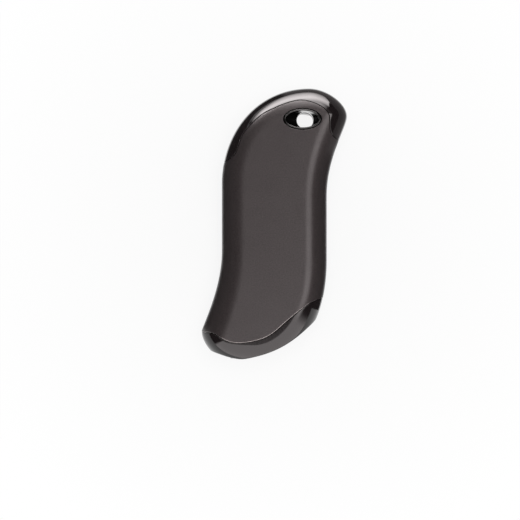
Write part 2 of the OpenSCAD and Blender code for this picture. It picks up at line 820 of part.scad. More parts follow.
// Half of the cell holder, on the +Z side of the middle plane
module chassis_half() {
    w = chassis_half_w;
    rib_z = 4.2;
    side_round = edge_round - sleeve_wall;
    rib = half_waist - edge_round + side_round * cos(asin(rib_z / inner_t)) - 0.4;
    difference() {
        union() {
            difference() {
                for (s = [-1, 1]) {
                    rod(chassis_x + s * cell_pitch / 2, 0, cell_bore + saddle_wall,
                        chassis_low + chassis_wall, chassis_top - chassis_wall);
                    rod(chassis_x + s * cell_pitch / 2, 0, cell_bore - 0.4, chassis_low,
                        chassis_top);
                }
                between([-far, chassis_low - 1, -far], [far, chassis_top + 1, 0]);
            }
            between([chassis_x - cell_pitch / 2 - 3, chassis_low, 0],
                [chassis_x + cell_pitch / 2 + 3, chassis_top, chassis_t]);
            for (y = [-8, 8]) between([-rib, y - 1, 2.2], [rib, y + 1, rib_z]);
        }
        for (s = [-1, 1]) rod(chassis_x + s * cell_pitch / 2, 0, cell_bore,
            chassis_low + chassis_wall, chassis_top - chassis_wall);
        between([chassis_x - 1.6, chassis_low + chassis_wall, -1],
            [chassis_x + 1.6, chassis_top - chassis_wall, 3.6]);
        for (y = [chassis_top - chassis_wall, chassis_low + chassis_wall + end_play + 0.3])
            between([chassis_x - w - 1, y - end_play - 0.3, -1],
                [chassis_x - cell_pitch / 2, y, 2.4]);
        for (y = [chassis_top, chassis_low])
            rod(chassis_x, frame_screw_z, screw_pilot, y - 6.5, y + 6.5);
    }
}

module chassis_front() {
    color([0.20, 0.20, 0.21]) at_middle() chassis_half();
}

module chassis_back() {
    color([0.20, 0.20, 0.21]) at_middle() mirror([0, 0, 1]) chassis_half();
}

// Cell with its raised positive end towards +Y
module cell(side) {
    x = chassis_x + side * cell_pitch / 2;
    y0 = chassis_y - cell_length / 2;
    at_middle() {
        rod(x, 0, cell_diameter / 2, y0, y0 + cell_length - cap_nub);
        rod(x, 0, 3.8, y0 + 1, y0 + cell_length);
    }
}

module left_cell() {
    color([0.16, 0.45, 0.62]) cell(-1);
}

module right_cell() {
    color([0.16, 0.45, 0.62]) cell(1);
}

module cell_insulators() {
    y = chassis_y + cell_length / 2 - cap_nub;
    color([0.92, 0.90, 0.86]) at_middle() for (s = [-1, 1]) difference() {
        rod(chassis_x + s * cell_pitch / 2, 0, cell_diameter / 2 - 0.6, y, y + 0.3);
        rod(chassis_x + s * cell_pitch / 2, 0, 3.9, y - 1, y + 1);
    }
}

// Strip across both cells with a tab folded over the side of the chassis
module nickel_strip(end) {
    y = chassis_y + end * cell_length / 2;
    side_x = chassis_x - chassis_half_w;
    color([0.80, 0.79, 0.76]) at_middle() translate([0, y, 0]) mirror([0, end < 0 ? 1 : 0, 0]) {
        between([side_x - strip_thick - 0.05, 0, -2], [chassis_x + cell_pitch / 2 + 3, strip_thick, 2]);
        between([side_x - strip_thick - 0.05, -7, -2], [side_x - 0.05, strip_thick, 2]);
    }
}

module top_nickel_strip() {
    nickel_strip(1);
}

module bottom_nickel_strip() {
    nickel_strip(-1);
}

// Part of the flat face between y0 and y1, moved in by inset
module flat_plate(inset, y0, y1) {
    intersection() {
        offset(delta = -inset) polygon(flat_edge());
        translate([-40, y0]) square([80, y1 - y0]);
    }
}

heat_y0 = chassis_low + 4;
heat_y1 = chassis_top - 2;

// Film with a flat tail that bends down to its connector on the board
module heater(board_z) {
    path = smooth([[heat_y0 + 9, film_z], [heat_y0 + 3, film_z], [heat_y0 - 0.5, film_z],
        [chassis_low - 0.5, film_z], [connector_y + 1.2, film_z - 1.4],
        [connector_y, (film_z + board_z) / 2], [connector_y, board_z],
        [connector_y, board_z - 5]], 5);
    translate([0, 0, film_z]) linear_extrude(film_thick) flat_plate(1.2, heat_y0, heat_y1);
    translate([heater_tab_x - tail_width / 2, 0, 0]) rotate([90, 0, 90])
        linear_extrude(tail_width) polygon(concat(
            [for (p = path) p], [for (i = [len(path) - 1:-1:0]) path[i] + tail_side(path, i)]));
}

// Step across the tail at point i, to its outer side
function tail_side(path, i) =
    let (a = path[max(i - 1, 0)], b = path[min(i + 1, len(path) - 1)], d = (b - a) / norm(b - a))
    film_thick * [d.y, -d.x];

module front_heater() {
    color([0.78, 0.45, 0.12]) at_middle() heater(board_top + connector_height);
}

module back_heater() {
    color([0.78, 0.45, 0.12]) at_middle() mirror([0, 0, 1]) heater(connector_height - board_low);
}

module spreader() {
    translate([0, 0, inner_t - spreader_thick]) linear_extrude(spreader_thick)
        flat_plate(0.6, heat_y0, heat_y1);
}

module front_spreader() {
    color([0.75, 0.76, 0.78]) at_middle() spreader();
}

module back_spreader() {
    color([0.75, 0.76, 0.78]) at_middle() mirror([0, 0, 1]) spreader();
}

thermistor = [1.6, 0.8, 0.5];

// Foam sheet between a heater and the chassis, with a window for the thermistor
module pad() {
    difference() {
        translate([0, 0, chassis_t]) linear_extrude(pad_thick)
            flat_plate(2, heat_y0 + 4, heat_y1 - 1);
        translate([chassis_x, chassis_y, chassis_t - 1]) cylinder(r = 2, h = pad_thick + 2);
    }
}

module front_pad() {
    color([0.30, 0.30, 0.32]) at_middle() pad();
}

module back_pad() {
    color([0.30, 0.30, 0.32]) at_middle() mirror([0, 0, 1]) pad();
}

module heater_thermistors() {
    color([0.15, 0.15, 0.16]) at_middle() for (m = [0, 1]) mirror([0, 0, m])
        translate([chassis_x - thermistor.x / 2, chassis_y - thermistor.y / 2,
            film_z - thermistor.z]) cube(thermistor);
}

// Round wire along a path, closed at both ends
module wire(path, r) {
    sides = 8;
    last = len(path) - 1;
    points = [for (i = [0:last])
        let (d = path[min(i + 1, last)] - path[max(i - 1, 0)], t = d / norm(d),
            n = cross(t, [0.2, 0.1, 1]), a = n / norm(n), b = cross(t, a))
        for (j = [0:sides - 1]) path[i] + r * (a * cos(j * 45) + b * sin(j * 45))];
    walls = [for (i = [0:last - 1], j = [0:sides - 1], s = [0, 1])
        let (p = i * sides + j, q = i * sides + (j + 1) % sides)
        s == 0 ? [p, q, q + sides] : [p, q + sides, p + sides]];
    polyhedron(points, concat(walls, [[for (j = [sides - 1:-1:0]) j]],
        [[for (j = [0:sides - 1]) last * sides + j]]));
}

lead_r = 0.6;
lead_x = chassis_x - chassis_half_w - strip_thick - lead_r - 0.1;
lead_end_z = board_top + lead_r + 0.05;

module battery_lead_red() {
    z = 1.1;
    x = 1.75 - half_waist;
    color([0.75, 0.08, 0.06]) at_middle() wire(smooth([[lead_x, chassis_top, z],
        [lead_x, chassis_top - 6, z], [lead_x, chassis_top - 14, z],
        [3.2 - half_waist, chassis_y + 3.5, z], [3 - half_waist, chassis_low + 19, z],
        [lead_x - 1.6, chassis_low + 5, z], [lead_x - 2.6, chassis_low - 5, z - 0.3],
        [x, board_end - 9.5, lead_end_z], [x, board_end - 17, lead_end_z]], 3), lead_r);
}

module battery_lead_black() {
    z = -1.1;
    x = -19.6;
    color([0.05, 0.05, 0.05]) at_middle() wire(smooth([[lead_x, chassis_low + 16, z],
        [lead_x, chassis_low + 8, z], [lead_x, chassis_low + 2, z],
        [lead_x + 0.3, chassis_low - 4, z], [x, board_end - 7, lead_end_z],
        [x, board_end - 10, lead_end_z], [x, board_end - 15, lead_end_z]], 3), lead_r);
}

sleeve();
top_cap();
bottom_cap();
eyelet_front();
eyelet_back();
lanyard_frame();
port_plate();
power_button();
switch_plunger();
switch_dome();
switch_cover();
switch_base();
light_pipe();
indicator_leds();
control_board();
output_socket_shell();
output_socket_tongue();
output_socket_contacts();
input_socket_shell();
input_socket_tongue();
power_inductor();
controller_chip();
power_chips();
board_capacitors();
heater_connectors();
board_tray();
board_screws();
frame_screws();
chassis_front();
chassis_back();
left_cell();
right_cell();
cell_insulators();
top_nickel_strip();
bottom_nickel_strip();
front_heater();
back_heater();
front_spreader();
back_spreader();
front_pad();
back_pad();
heater_thermistors();
battery_lead_red();
battery_lead_black();
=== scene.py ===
"""Rechargeable hand warmer: metal sleeve, gloss end caps, lanyard eyelet, button and sockets.

Sizes in the panels are in millimetres. The meshes are in metres, in the frame of the
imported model: the back face lies on z = 0 and the lanyard end points to +Y.
"""

import math

import bpy
import numpy as np
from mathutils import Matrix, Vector


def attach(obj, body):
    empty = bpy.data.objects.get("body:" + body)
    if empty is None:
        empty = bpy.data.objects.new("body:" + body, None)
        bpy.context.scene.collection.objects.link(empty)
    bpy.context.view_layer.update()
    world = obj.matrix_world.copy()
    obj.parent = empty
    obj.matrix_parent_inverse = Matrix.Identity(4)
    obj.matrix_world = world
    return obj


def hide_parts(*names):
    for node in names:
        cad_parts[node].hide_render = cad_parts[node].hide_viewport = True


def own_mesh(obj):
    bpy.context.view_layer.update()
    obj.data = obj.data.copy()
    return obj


bl_info = {
    "name": "Hand Warmer",
    "version": (1, 0, 0),
    "blender": (4, 5, 0),
    "location": "View3D > Sidebar > Warmer",
    "description": "Builds a rechargeable hand warmer round its packed model",
    "category": "Object",
}

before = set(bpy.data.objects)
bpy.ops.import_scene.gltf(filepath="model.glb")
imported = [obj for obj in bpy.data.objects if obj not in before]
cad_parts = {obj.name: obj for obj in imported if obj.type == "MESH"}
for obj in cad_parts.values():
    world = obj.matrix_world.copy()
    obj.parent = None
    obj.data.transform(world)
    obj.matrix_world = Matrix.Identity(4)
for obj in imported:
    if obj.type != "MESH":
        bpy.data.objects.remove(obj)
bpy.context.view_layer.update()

MM = 0.001        # metres in a millimetre
MIDDLE_Z = 14.0   # height of the middle plane over the back face


# ---------------------------------------------------------------- properties


def size(name, description, default, low=0.0, high=1000.0):
    """A length in millimetres for a panel."""
    return bpy.props.FloatProperty(name=name, description=description, default=default,
                                   min=low, max=high, precision=3)


def share(name, description, default, high=1.0):
    """A plain number for a panel."""
    return bpy.props.FloatProperty(name=name, description=description, default=default,
                                   min=0.0, max=high, precision=3)


def colour(name, description, default):
    """A colour for a panel."""
    return bpy.props.FloatVectorProperty(name=name, description=description,
                                         default=default, size=3, min=0.0, max=1.0,
                                         subtype="COLOR")


class WarmerBody(bpy.types.PropertyGroup):
    """Sizes of the S-shaped body."""

    body_length: size("Length", "Length from end to end", 130.0)
    body_width: size("Width", "Width over both lobes", 70.0)
    waist_width: size("Waist", "Width of the straight waist", 50.5)
    thickness: size("Thickness", "Back face to front face", 28.0)
    edge_round: size("Edge round", "Reach of the edge rounding", 11.0)
    sleeve_wall: size("Sleeve wall", "Wall of the metal sleeve", 1.0)
    cap_wall: size("Cap wall", "Wall of the end caps", 1.8)
    crown_x: size("Crown", "Crown, from the middle", 16.7)
    lobe_drop: size("Lobe drop", "Crown to the widest point", 13.5)
    low_lobe_drop: size("Low lobe drop", "Lower end to the widest point", 13.0)
    end_tilt: size("End tilt", "Tilt of the flat end, in degrees", 32.0)
    end_low_x: size("End low point", "Lowest point, from the middle", 16.8)
    end_wall: size("End wall", "Wall behind the end face", 2.2)
    end_soft: size("End edge", "Softness of the edge round the end face", 0.5)


class WarmerSeams(bpy.types.PropertyGroup):
    """Sizes of the grooves between the sleeve and the caps."""

    seam_gap: size("Gap", "Open groove between sleeve and cap", 0.2)
    sleeve_lip: size("Sleeve lip", "Rounding of the sleeve's cut edge", 0.2)
    cap_lip: size("Cap lip", "Rounding of a cap's edge", 0.2)


class WarmerEyelet(bpy.types.PropertyGroup):
    """Sizes of the lanyard eyelet."""

    length: size("Length", "Length of the bezel", 18.1)
    width: size("Width", "Width of the bezel", 10.1)
    ring: size("Ring", "Sunk ring between the sleeve and the bead", 0.3)
    sunk: size("Ring depth", "Depth of the sunk ring", 0.45)
    bead: size("Bead", "Radius of the bead round the mouth", 0.4)
    well: size("Well", "Depth of the mouth's upright part", 4.4)
    depth: size("Depth", "Depth of the mouth", 9.0)
    bore: size("Bore", "Diameter of the hole", 8.0)
    shift: size("Bore shift", "Hole to the right of the bezel's middle", 1.4)
    gap: size("Gap", "Gap round the bezel", 0.15)


class WarmerEnd(bpy.types.PropertyGroup):
    """Sizes of the button and the port bay."""

    button: size("Button", "Diameter of the button", 8.8)
    button_gap: size("Button gap", "Gap round the button", 0.1)
    bay_length: size("Bay length", "Length of the port bay", 28.5)
    bay_width: size("Bay width", "Width of the port bay", 12.2)
    bay_depth: size("Bay depth", "Depth of the port plate", 1.8)
    plate: size("Plate", "Thickness of the port plate", 1.4)


class WarmerFinish(bpy.types.PropertyGroup):
    """Colours and gloss of the outside."""

    sleeve: colour("Sleeve", "Colour of the coated sleeve", (0.034, 0.0272, 0.0275))
    sleeve_rough: share("Sleeve roughness", "Roughness of the sleeve", 0.32)
    cap: colour("Caps", "Colour of the end caps", (0.011, 0.008, 0.0085))
    cap_rough: share("Cap roughness", "Roughness of the caps", 0.09)
    bezel: colour("Bezel", "Colour of the eyelet", (0.004, 0.004, 0.004))
    plate: colour("Plate", "Colour of the port plate", (0.016, 0.016, 0.017))


class WarmerStage(bpy.types.PropertyGroup):
    """Camera and lights."""

    lens: size("Lens", "Focal length", 135.0)
    span: size("Span", "Width of the frame at the warmer", 250.7)
    floor: colour("Floor", "Colour of the floor", (0.90, 0.90, 0.90))
    glow: share("Floor white", "Share of the floor that shows as plain white", 0.86)
    key: share("Key", "Brightness of the box that lights all surfaces", 4.0, 40.0)
    fill: share("Fill", "Brightness of the even fill", 0.3, 4.0)
    top_light: share("Top strip", "Brightness of the strip beyond the top end", 14.0, 40.0)
    side_light: share("Side panel", "Brightness of the tent's right panel", 4.5, 40.0)
    low_light: share("Low panel", "Brightness of the tent's lower panel", 2.7, 40.0)
    upper: share("Tent", "Brightness of the tent round the camera", 0.3, 4.0)
    dark: share("Dark cards", "Brightness of the tent's dark cards", 0.05, 1.0)


def props(name):
    """The property group of that name on the scene."""
    return getattr(bpy.context.scene, "warmer_" + name)


# ---------------------------------------------------------------- the body's surface


# Columns on each half loop's side, crown, lobe and flank, before they are made finer
STEPS = (3, 10, 9, 8)
# Handles of the crown's, the lobe's and the flank's cubics, as shares of their reach
PULLS = {
    "outer": ((0.54, 0.60), (0.46, 0.48), (0.14, 0.50)),
    "low_outer": ((0.70, 0.47), (0.73, 0.32), (0.05, 0.475)),
    "flat": ((0.58, 0.57), (0.72, 0.25), (0.02, 0.58)),
    "low_flat": ((0.80, 0.34), (0.90, 0.20), (0.03, 0.50)),
}
CROWN_FOOT = 46.0         # from an end to where the left side ends: at the top,
LOW_CROWN_FOOT = 47.5     # and at the bottom
FLANK_FOOT = 52.0         # from an end to where the flank ends
END_OVERRUN = 4.0         # the lower half reaches past the end face and is pressed back
LOW_CROWN_X = 10.0
FLAT_CROWN_SHIFT = (0.4, 0.3)   # the flat's crown left of the silhouette's, top and bottom
FLAT_LOBE_DROP = 1.9
END_FLAT = (21.8, 7.8)    # the end's flat part, from the body's lowest point
EYELET_OFF = (3.4, 15.55)  # the eyelet's middle, left of the crown and below it
RIB_POINTS = 37           # points along a rib
HALVINGS = 24             # of a cut edge
MERGE = 2e-4              # points closer than this are one
ON_CUT = 0.02             # an open edge this near a cut belongs to it
LIP_TURNS = (15, 30, 45, 60, 75, 90)
WORN_HIGHLIGHT_STRIPS = 5           # of a lip's roundings, for the worn edge and its painted highlight


def bezier(a, b, c, d, t):
    """Cubic from a to d: s^3 a + 3 s^2 t b + 3 s t^2 c + t^3 d, with s = 1 - t."""
    a, b, c, d = (np.asarray(p, float) for p in (a, b, c, d))
    t = t[:, None]
    s = 1 - t
    return s ** 3 * a + 3 * s * s * t * b + 3 * s * t * t * c + t ** 3 * d


def half_loop(w, feet, apex, lobe, pull, fine):
    """Upper half of a loop: straight up the left side, then a cubic over the crown, one
    round the lobe and one down the flank, each leaving along its end tangents."""
    foot, flank = feet
    t = [np.arange(n * fine) / (n * fine) for n in STEPS]
    side = np.stack([np.full(len(t[0]), -w), -flank + (foot + flank) * t[0]], 1)
    crown = bezier((-w, foot), (-w, foot + pull[0][0] * (apex[1] - foot)),
                   (apex[0] - pull[0][1] * (apex[0] + w), apex[1]), apex, t[1])
    round_ = bezier(apex, (apex[0] + pull[1][0] * (lobe[0] - apex[0]), apex[1]),
                    (lobe[0], lobe[1] + pull[1][1] * (apex[1] - lobe[1])), lobe, t[2])
    down = bezier(lobe, (lobe[0], lobe[1] - pull[2][0] * (lobe[1] - flank)),
                  (w, flank + pull[2][1] * (lobe[1] - flank)), (w, flank), t[3])
    return np.concatenate([side, crown, round_, down])


def outline(inset, fine):
    """Silhouette seen from the front, moved in by inset: an upper half and a lower half
    that is turned by half a turn."""
    b = props("body")
    w, reach, half = b.waist_width / 2 - inset, b.body_width / 2 - inset, b.body_length / 2
    flank = half - FLANK_FOOT
    up = half_loop(w, (half - CROWN_FOOT, flank), (b.crown_x, half - inset),
                   (reach, half - b.lobe_drop), PULLS["outer"], fine)
    low = half_loop(w, (half - LOW_CROWN_FOOT, flank),
                    (LOW_CROWN_X, half + END_OVERRUN - inset),
                    (reach, half - b.low_lobe_drop), PULLS["low_outer"], fine)
    return np.concatenate([up, -low])


def flat_edge(fine):
    """Edge of the flat faces, made like the silhouette."""
    b = props("body")
    w, reach = b.waist_width / 2 - b.edge_round, b.body_width / 2 - b.edge_round
    half = b.body_length / 2
    top, flank = half - b.edge_round, half - FLANK_FOOT
    up = half_loop(w, (half - CROWN_FOOT, flank), (b.crown_x - FLAT_CROWN_SHIFT[0], top),
                   (reach, top - FLAT_LOBE_DROP), PULLS["flat"], fine)
    low_top = top + END_OVERRUN
    low = half_loop(w, (half - LOW_CROWN_FOOT, flank),
                    (LOW_CROWN_X - FLAT_CROWN_SHIFT[1], low_top),
                    (reach, low_top - FLAT_LOBE_DROP), PULLS["low_flat"], fine)
    return np.concatenate([up, -low])


def end_frame():
    """Origin of the end's flat part, and its two directions: along it to the right, and
    into the body."""
    b = props("body")
    tilt = math.radians(b.end_tilt)
    along = np.array([math.cos(tilt), math.sin(tilt)])
    inward = np.array([-math.sin(tilt), math.cos(tilt)])
    origin = np.array([END_FLAT[0] - b.end_low_x, END_FLAT[1] - b.body_length / 2])
    return origin, along, inward


def end_line():
    """Line of the end face, from the left side past the button and the bay to the right,
    with a far point at each end. Its points are offsets from the body's lowest point, and
    then steps along and into the flat part."""
    b = props("body")
    origin, along, inward = end_frame()
    low = np.array([-b.end_low_x, -b.body_length / 2])
    points = [low + q for q in ((-29, 7.5), (-18, 4.7), (-10.4, 2.6), (-4.8, 0.9),
                                (0.8, 0), (6.4, 0.9))]
    points += [origin + s * along + d * inward for s, d in (
        (-9.25, 0.2), (-1.7, -0.85), (6.2, -0.7), (14.2, 0.4), (23.7, 2), (50, 6))]
    line = catmull(points, 8)
    return np.concatenate([[(-200, line[0, 1])], line, [(200, 200)]])


def press_to_end(points, inset):
    """Moves what lies past the end face onto it. With depth d and softness h the new
    depth is (d + h)^2 / 4h between -h and h, which rounds the edge inside the old one."""
    h = props("body").end_soft
    depth, way = near_path(end_line(), points)
    depth = depth - inset
    soft = (np.clip(depth, -h, h) + h) ** 2 / (4 * h)
    new = np.where(depth > h, depth, soft)
    moved = points.copy()
    moved[:, :2] += (new - depth)[:, None] * way
    return moved


def skin(fine, bands, wall):
    """Closed grid over the rounded edge. Row by row an angle a runs from 90 to -90
    degrees: a point is flat + (edge - flat) cos a in plan and sin a times half the
    thickness in height, and its inner partner uses the outline moved in by the wall."""
    b = props("body")
    a = np.linspace(math.pi / 2, -math.pi / 2, 2 * bands + 1)
    flat = flat_edge(fine)
    sheets = []
    for inset in (0.0, wall):
        edge = outline(inset, fine)
        plan = flat[:, None] + (edge - flat)[:, None] * np.cos(a)[None, :, None]
        height = np.broadcast_to((b.thickness / 2 - inset) * np.sin(a), plan.shape[:2])
        sheets.append(np.concatenate([plan, height[..., None]], 2))
    return np.concatenate(sheets, 2)


def body_mesh(fine, bands, wall, columns=None, ribs=None):
    """The rounded edge, or some columns of it, and ribs that span both flats. Rib k joins
    the points k columns to the left and to the right of the crown."""
    grid = skin(fine, bands, wall)
    n, m = grid.shape[:2]
    part = grid if columns is None else grid[columns % n]
    points, faces = [part.reshape(-1, 6)], [grid_faces(len(part), m, columns is None)]
    count = len(part) * m
    apex = (STEPS[0] + STEPS[1]) * fine
    k = np.arange(n // 2 + 1) if ribs is None else ribs
    t = np.linspace(0, 1, RIB_POINTS)[None, :, None]
    for row, flip in ((0, False), (m - 1, True)):
        left, right = grid[(apex - k) % n, row], grid[(apex + k) % n, row]
        points.append((left[:, None] + (right - left)[:, None] * t).reshape(-1, 6))
        f = grid_faces(len(k), RIB_POINTS, False) + count
        faces.append(f[:, ::-1] if flip else f)
        count += len(k) * RIB_POINTS
    return np.concatenate(points), np.concatenate(faces)


def grid_faces(n, m, closed):
    """Triangles of an n by m grid of points, joined round the first way if closed."""
    i = np.arange(n if closed else n - 1)
    j = np.arange(m - 1)
    a = i[:, None] * m + j
    b = ((i + 1) % n)[:, None] * m + j
    quads = np.stack([a, b, b + 1, a + 1], 2).reshape(-1, 4)
    return np.concatenate([quads[:, [0, 1, 2]], quads[:, [0, 2, 3]]])


def catmull(points, steps):
    """Smooth path through points; the first and the last only set its direction."""
    p = np.asarray(points, float)
    t = (np.arange(steps) / steps)[None, :, None]
    a, b, c, d = (p[i:len(p) - 3 + i, None] for i in range(4))
    path = 0.5 * (2 * b + (c - a) * t + (2 * a - 5 * b + 4 * c - d) * t * t
                  + (3 * b - a - 3 * c + d) * t ** 3)
    return np.concatenate([path.reshape(-1, 2), p[-2:-1]])


def top_seam():
    """Seam of the top cap, from the left side over the crown to the right flank, as
    offsets from the side's foot, the crown and the lobe."""
    b = props("body")
    left, half, right = -b.waist_width / 2, b.body_length / 2, b.body_width / 2
    foot, crown = half - CROWN_FOOT, b.crown_x
    return catmull([
        (left - 35, foot + 6.5), (left - 20, foot + 7), (left - 6, foot + 8.6),
        (left, foot + 10.1), (left + 4.1, foot + 11.9), (left + 6.7, foot + 14.6),
        (left + 8.4, foot + 19.4), (left + 10.9, foot + 24.6),
        (crown - 23.6, half - 13.8), (crown - 15.7, half - 9.7),
        (crown - 8.9, half - 7.2), (crown - 3.7, half - 6.4), (crown + 2, half - 7.7),
        (right - 11.7, half - 10.2), (right - 9.1, half - 13.2),
        (right - 8.6, half - 16.8), (right - 8.3, half - 20.6),
        (right - 7.1, half - 23.2), (right - 4.1, half - 25.2),
        (right - 0.5, half - 26.8), (right + 10, half - 31), (right + 25, half - 37)], 8)


def low_seam():
    """Seam of the bottom cap, from the left side along the end face to the right, as
    offsets from the lobe, the lowest point and the end's flat part."""
    b = props("body")
    low, left, mid = -b.body_length / 2, -b.body_width / 2, -b.end_low_x
    x, y = end_frame()[0]
    return catmull([
        (left - 25, low + 12.6), (left - 10, low + 12.5), (left - 1, low + 12.6),
        (left + 3.3, low + 12.7), (left + 6, low + 12.2), (left + 8.1, low + 11.1),
        (mid - 6.2, low + 9), (mid - 2, low + 7.9), (mid + 2.9, low + 8),
        (mid + 7.8, low + 8.9), (x - 9, y + 2.8), (x - 4.4, y + 5.8), (x + 0.9, y + 10.5),
        (x + 6.5, y + 15.1), (x + 11.7, y + 18.8), (x + 16.3, y + 20.7),
        (x + 21, y + 21.4), (x + 31, y + 21.6), (x + 45, y + 21.8)], 8)


def near_path(path, points):
    """Distance of each point from a path in plan, positive on its left side, and the unit
    vector along which that distance grows."""
    chunk = 20000
    a, d = path[:-1], np.diff(path, axis=0)
    length = (d * d).sum(1)
    dist, way = np.empty(len(points)), np.empty((len(points), 2))
    for k in range(0, len(points), chunk):
        q = points[k:k + chunk, None, :2] - a
        t = np.clip((q * d).sum(2) / length, 0, 1)
        away = q - t[..., None] * d
        square = (away * away).sum(2)
        i = square.argmin(1)
        row = np.arange(len(i))
        cross = d[i, 0] * q[row, i, 1] - d[i, 1] * q[row, i, 0]
        sign = np.where(cross >= 0, 1.0, -1.0)
        far = np.sqrt(square[row, i])
        across = np.stack([-d[i, 1], d[i, 0]], 1) / np.sqrt(length[i])[:, None]
        unit = away[row, i] * (sign / np.maximum(far, 1e-9))[:, None]
        dist[k:k + chunk] = far * sign
        way[k:k + chunk] = np.where((far < 1e-4)[:, None], across, unit)
    return dist, way


def side_of(path, points):
    """Distance of each point from a path in plan, positive on its left side."""
    return near_path(path, points)[0]


# ---------------------------------------------------------------- mesh work in numpy


def normals(points, faces):
    """Unit normal at each point: the sum of its faces' area vectors, made unit."""
    p = points[faces]
    area = np.cross(p[:, 1] - p[:, 0], p[:, 2] - p[:, 0])
    total = np.zeros((len(points), 3))
    for k in range(3):
        for axis in range(3):
            total[:, axis] += np.bincount(faces[:, k], area[:, axis], len(points))
    return total / np.maximum(np.linalg.norm(total, axis=1), 1e-12)[:, None]


def clip(points, faces, field):
    """The part of a triangle mesh where field > 0. A cut edge is halved again and again
    towards its zero, and its new point takes that share of all the point's numbers."""
    inside = field(points) > 0
    within = inside[faces]
    count = within.sum(1)
    parts = [faces[count == 3]]
    edges = []
    for n in (1, 2):
        f = faces[count == n]
        lone = (within[count == n] == (n == 1)).argmax(1)
        f = np.take_along_axis(f, (lone[:, None] + np.arange(3)) % 3, 1)
        edges.append(f)
    pairs = np.concatenate([e[:, [0, k]] for e in edges for k in (1, 2)])
    keys, back = np.unique(np.sort(pairs, 1), axis=0, return_inverse=True)
    back = back.reshape(-1)
    swap = ~inside[keys[:, 0]]
    keep = np.where(swap, keys[:, 1], keys[:, 0])
    drop = np.where(swap, keys[:, 0], keys[:, 1])
    low, high = np.zeros(len(keys)), np.ones(len(keys))
    for _ in range(HALVINGS):
        mid = (low + high) / 2
        value = field(points[keep] + mid[:, None] * (points[drop] - points[keep]))
        low, high = np.where(value > 0, mid, low), np.where(value > 0, high, mid)
    new = points[keep] + low[:, None] * (points[drop] - points[keep])
    n0, n1, n2 = len(points), len(edges[0]), len(edges[1])
    ids = back + n0
    one, two = edges
    parts.append(np.stack([one[:, 0], ids[:n1], ids[n1:2 * n1]], 1))
    ab, ac = ids[2 * n1:2 * n1 + n2], ids[2 * n1 + n2:]
    parts.append(np.stack([ab, two[:, 1], two[:, 2]], 1))
    parts.append(np.stack([ab, two[:, 2], ac], 1))
    return tidy(np.concatenate([points, new]), np.concatenate(parts))


def tidy(points, faces):
    """Merges points that share a place, and drops unused points and empty triangles."""
    used = np.unique(faces)
    grid = np.round(points[used, :3] / MERGE).astype(np.int64)
    _, first, back = np.unique(grid, axis=0, return_index=True, return_inverse=True)
    place = np.full(len(points), -1)
    place[used] = back.reshape(-1)
    faces = place[faces]
    good = ((faces[:, 0] != faces[:, 1]) & (faces[:, 1] != faces[:, 2])
            & (faces[:, 2] != faces[:, 0]))
    return points[used[first]], faces[good]


def open_edges(faces):
    """Edges that only one triangle has, in that triangle's direction."""
    e = np.concatenate([faces[:, [0, 1]], faces[:, [1, 2]], faces[:, [2, 0]]])
    _, back, count = np.unique(np.sort(e, 1), axis=0, return_inverse=True,
                               return_counts=True)
    return e[count[back.reshape(-1)] == 1]


class Shell:
    """A walled surface: points hold the outer place and the inner place, and each open
    edge is closed by a rounded lip."""

    def __init__(self, points, faces):
        self.points, self.faces = tidy(points, faces)
        self.lips = []

    def cut(self, field):
        """Keeps the part where field > 0."""
        self.points, self.faces = clip(self.points, self.faces, field)

    def downhill(self, field, ids, normal):
        """Unit vectors along the surface towards where the field falls, at some points."""
        way = np.zeros_like(normal)
        for axis in range(3):
            step = np.zeros(6)
            step[axis] = 0.01
            way[:, axis] = field(self.points[ids] - step) - field(self.points[ids] + step)
        way -= (way * normal).sum(1)[:, None] * normal
        return way / np.maximum(np.linalg.norm(way, axis=1), 1e-9)[:, None]

    def close(self, lips):
        """lips is a list of (field, radius, deep): the open edges where the field is zero
        roll over by radius towards the hole and end at the inner place, or first run
        along the vector deep. self.lips gets each rounding's first and last face."""
        p, f = self.points, self.faces
        outer, inner = p[:, :3], p[:, 3:]
        n = normals(outer, f)
        edges = open_edges(f)
        points, faces = [outer, inner], [f, f[:, ::-1] + len(p)]
        total, count = 2 * len(p), 2 * len(f)
        for field, radius, deep in lips:
            near = np.abs(field(p)) < ON_CUT
            ids, back = np.unique(edges[near[edges].all(1)], return_inverse=True)
            back = back.reshape(-1, 2)
            o, m = outer[ids], n[ids]
            t = self.downhill(field, ids, m)
            rows = [o + radius * (math.sin(a) * t - (1 - math.cos(a)) * m)
                    for a in np.radians(LIP_TURNS)]
            if deep is None:
                rows.append(inner[ids] + radius * t)
            else:
                rows += [o + radius * t + deep, o + deep]
            k = len(ids)
            index = [ids] + [total + r * k + np.arange(k) for r in range(len(rows))]
            index.append(ids + len(p))
            points += rows
            total += k * len(rows)
            for above, below in zip(index[:-1], index[1:]):
                i0, j0 = above[back[:, 0]], above[back[:, 1]]
                i1, j1 = below[back[:, 0]], below[back[:, 1]]
                faces += [np.stack([j0, i0, i1], 1), np.stack([j0, i1, j1], 1)]
            # the first strips of each rounding: on the sleeve's lower seam they take the
            # worn-metal colour, which also paints a highlight line there
            self.lips.append((count, count + 2 * len(back) * WORN_HIGHLIGHT_STRIPS))
            count += 2 * len(back) * (len(index) - 1)
        return np.concatenate(points), np.concatenate(faces)


def lathe_rows(loops):
    """Points of stacked loops (rows, around, 3) and the triangles between them, with the
    points that share a place merged."""
    rows, around = loops.shape[:2]
    points = loops.transpose(1, 0, 2).reshape(-1, 3)
    return tidy(points, grid_faces(around, rows, True))


def add_object(name, data):
    """New object in the scene."""
    made = bpy.data.objects.new(name, data)
    bpy.context.scene.collection.objects.link(made)
    return made


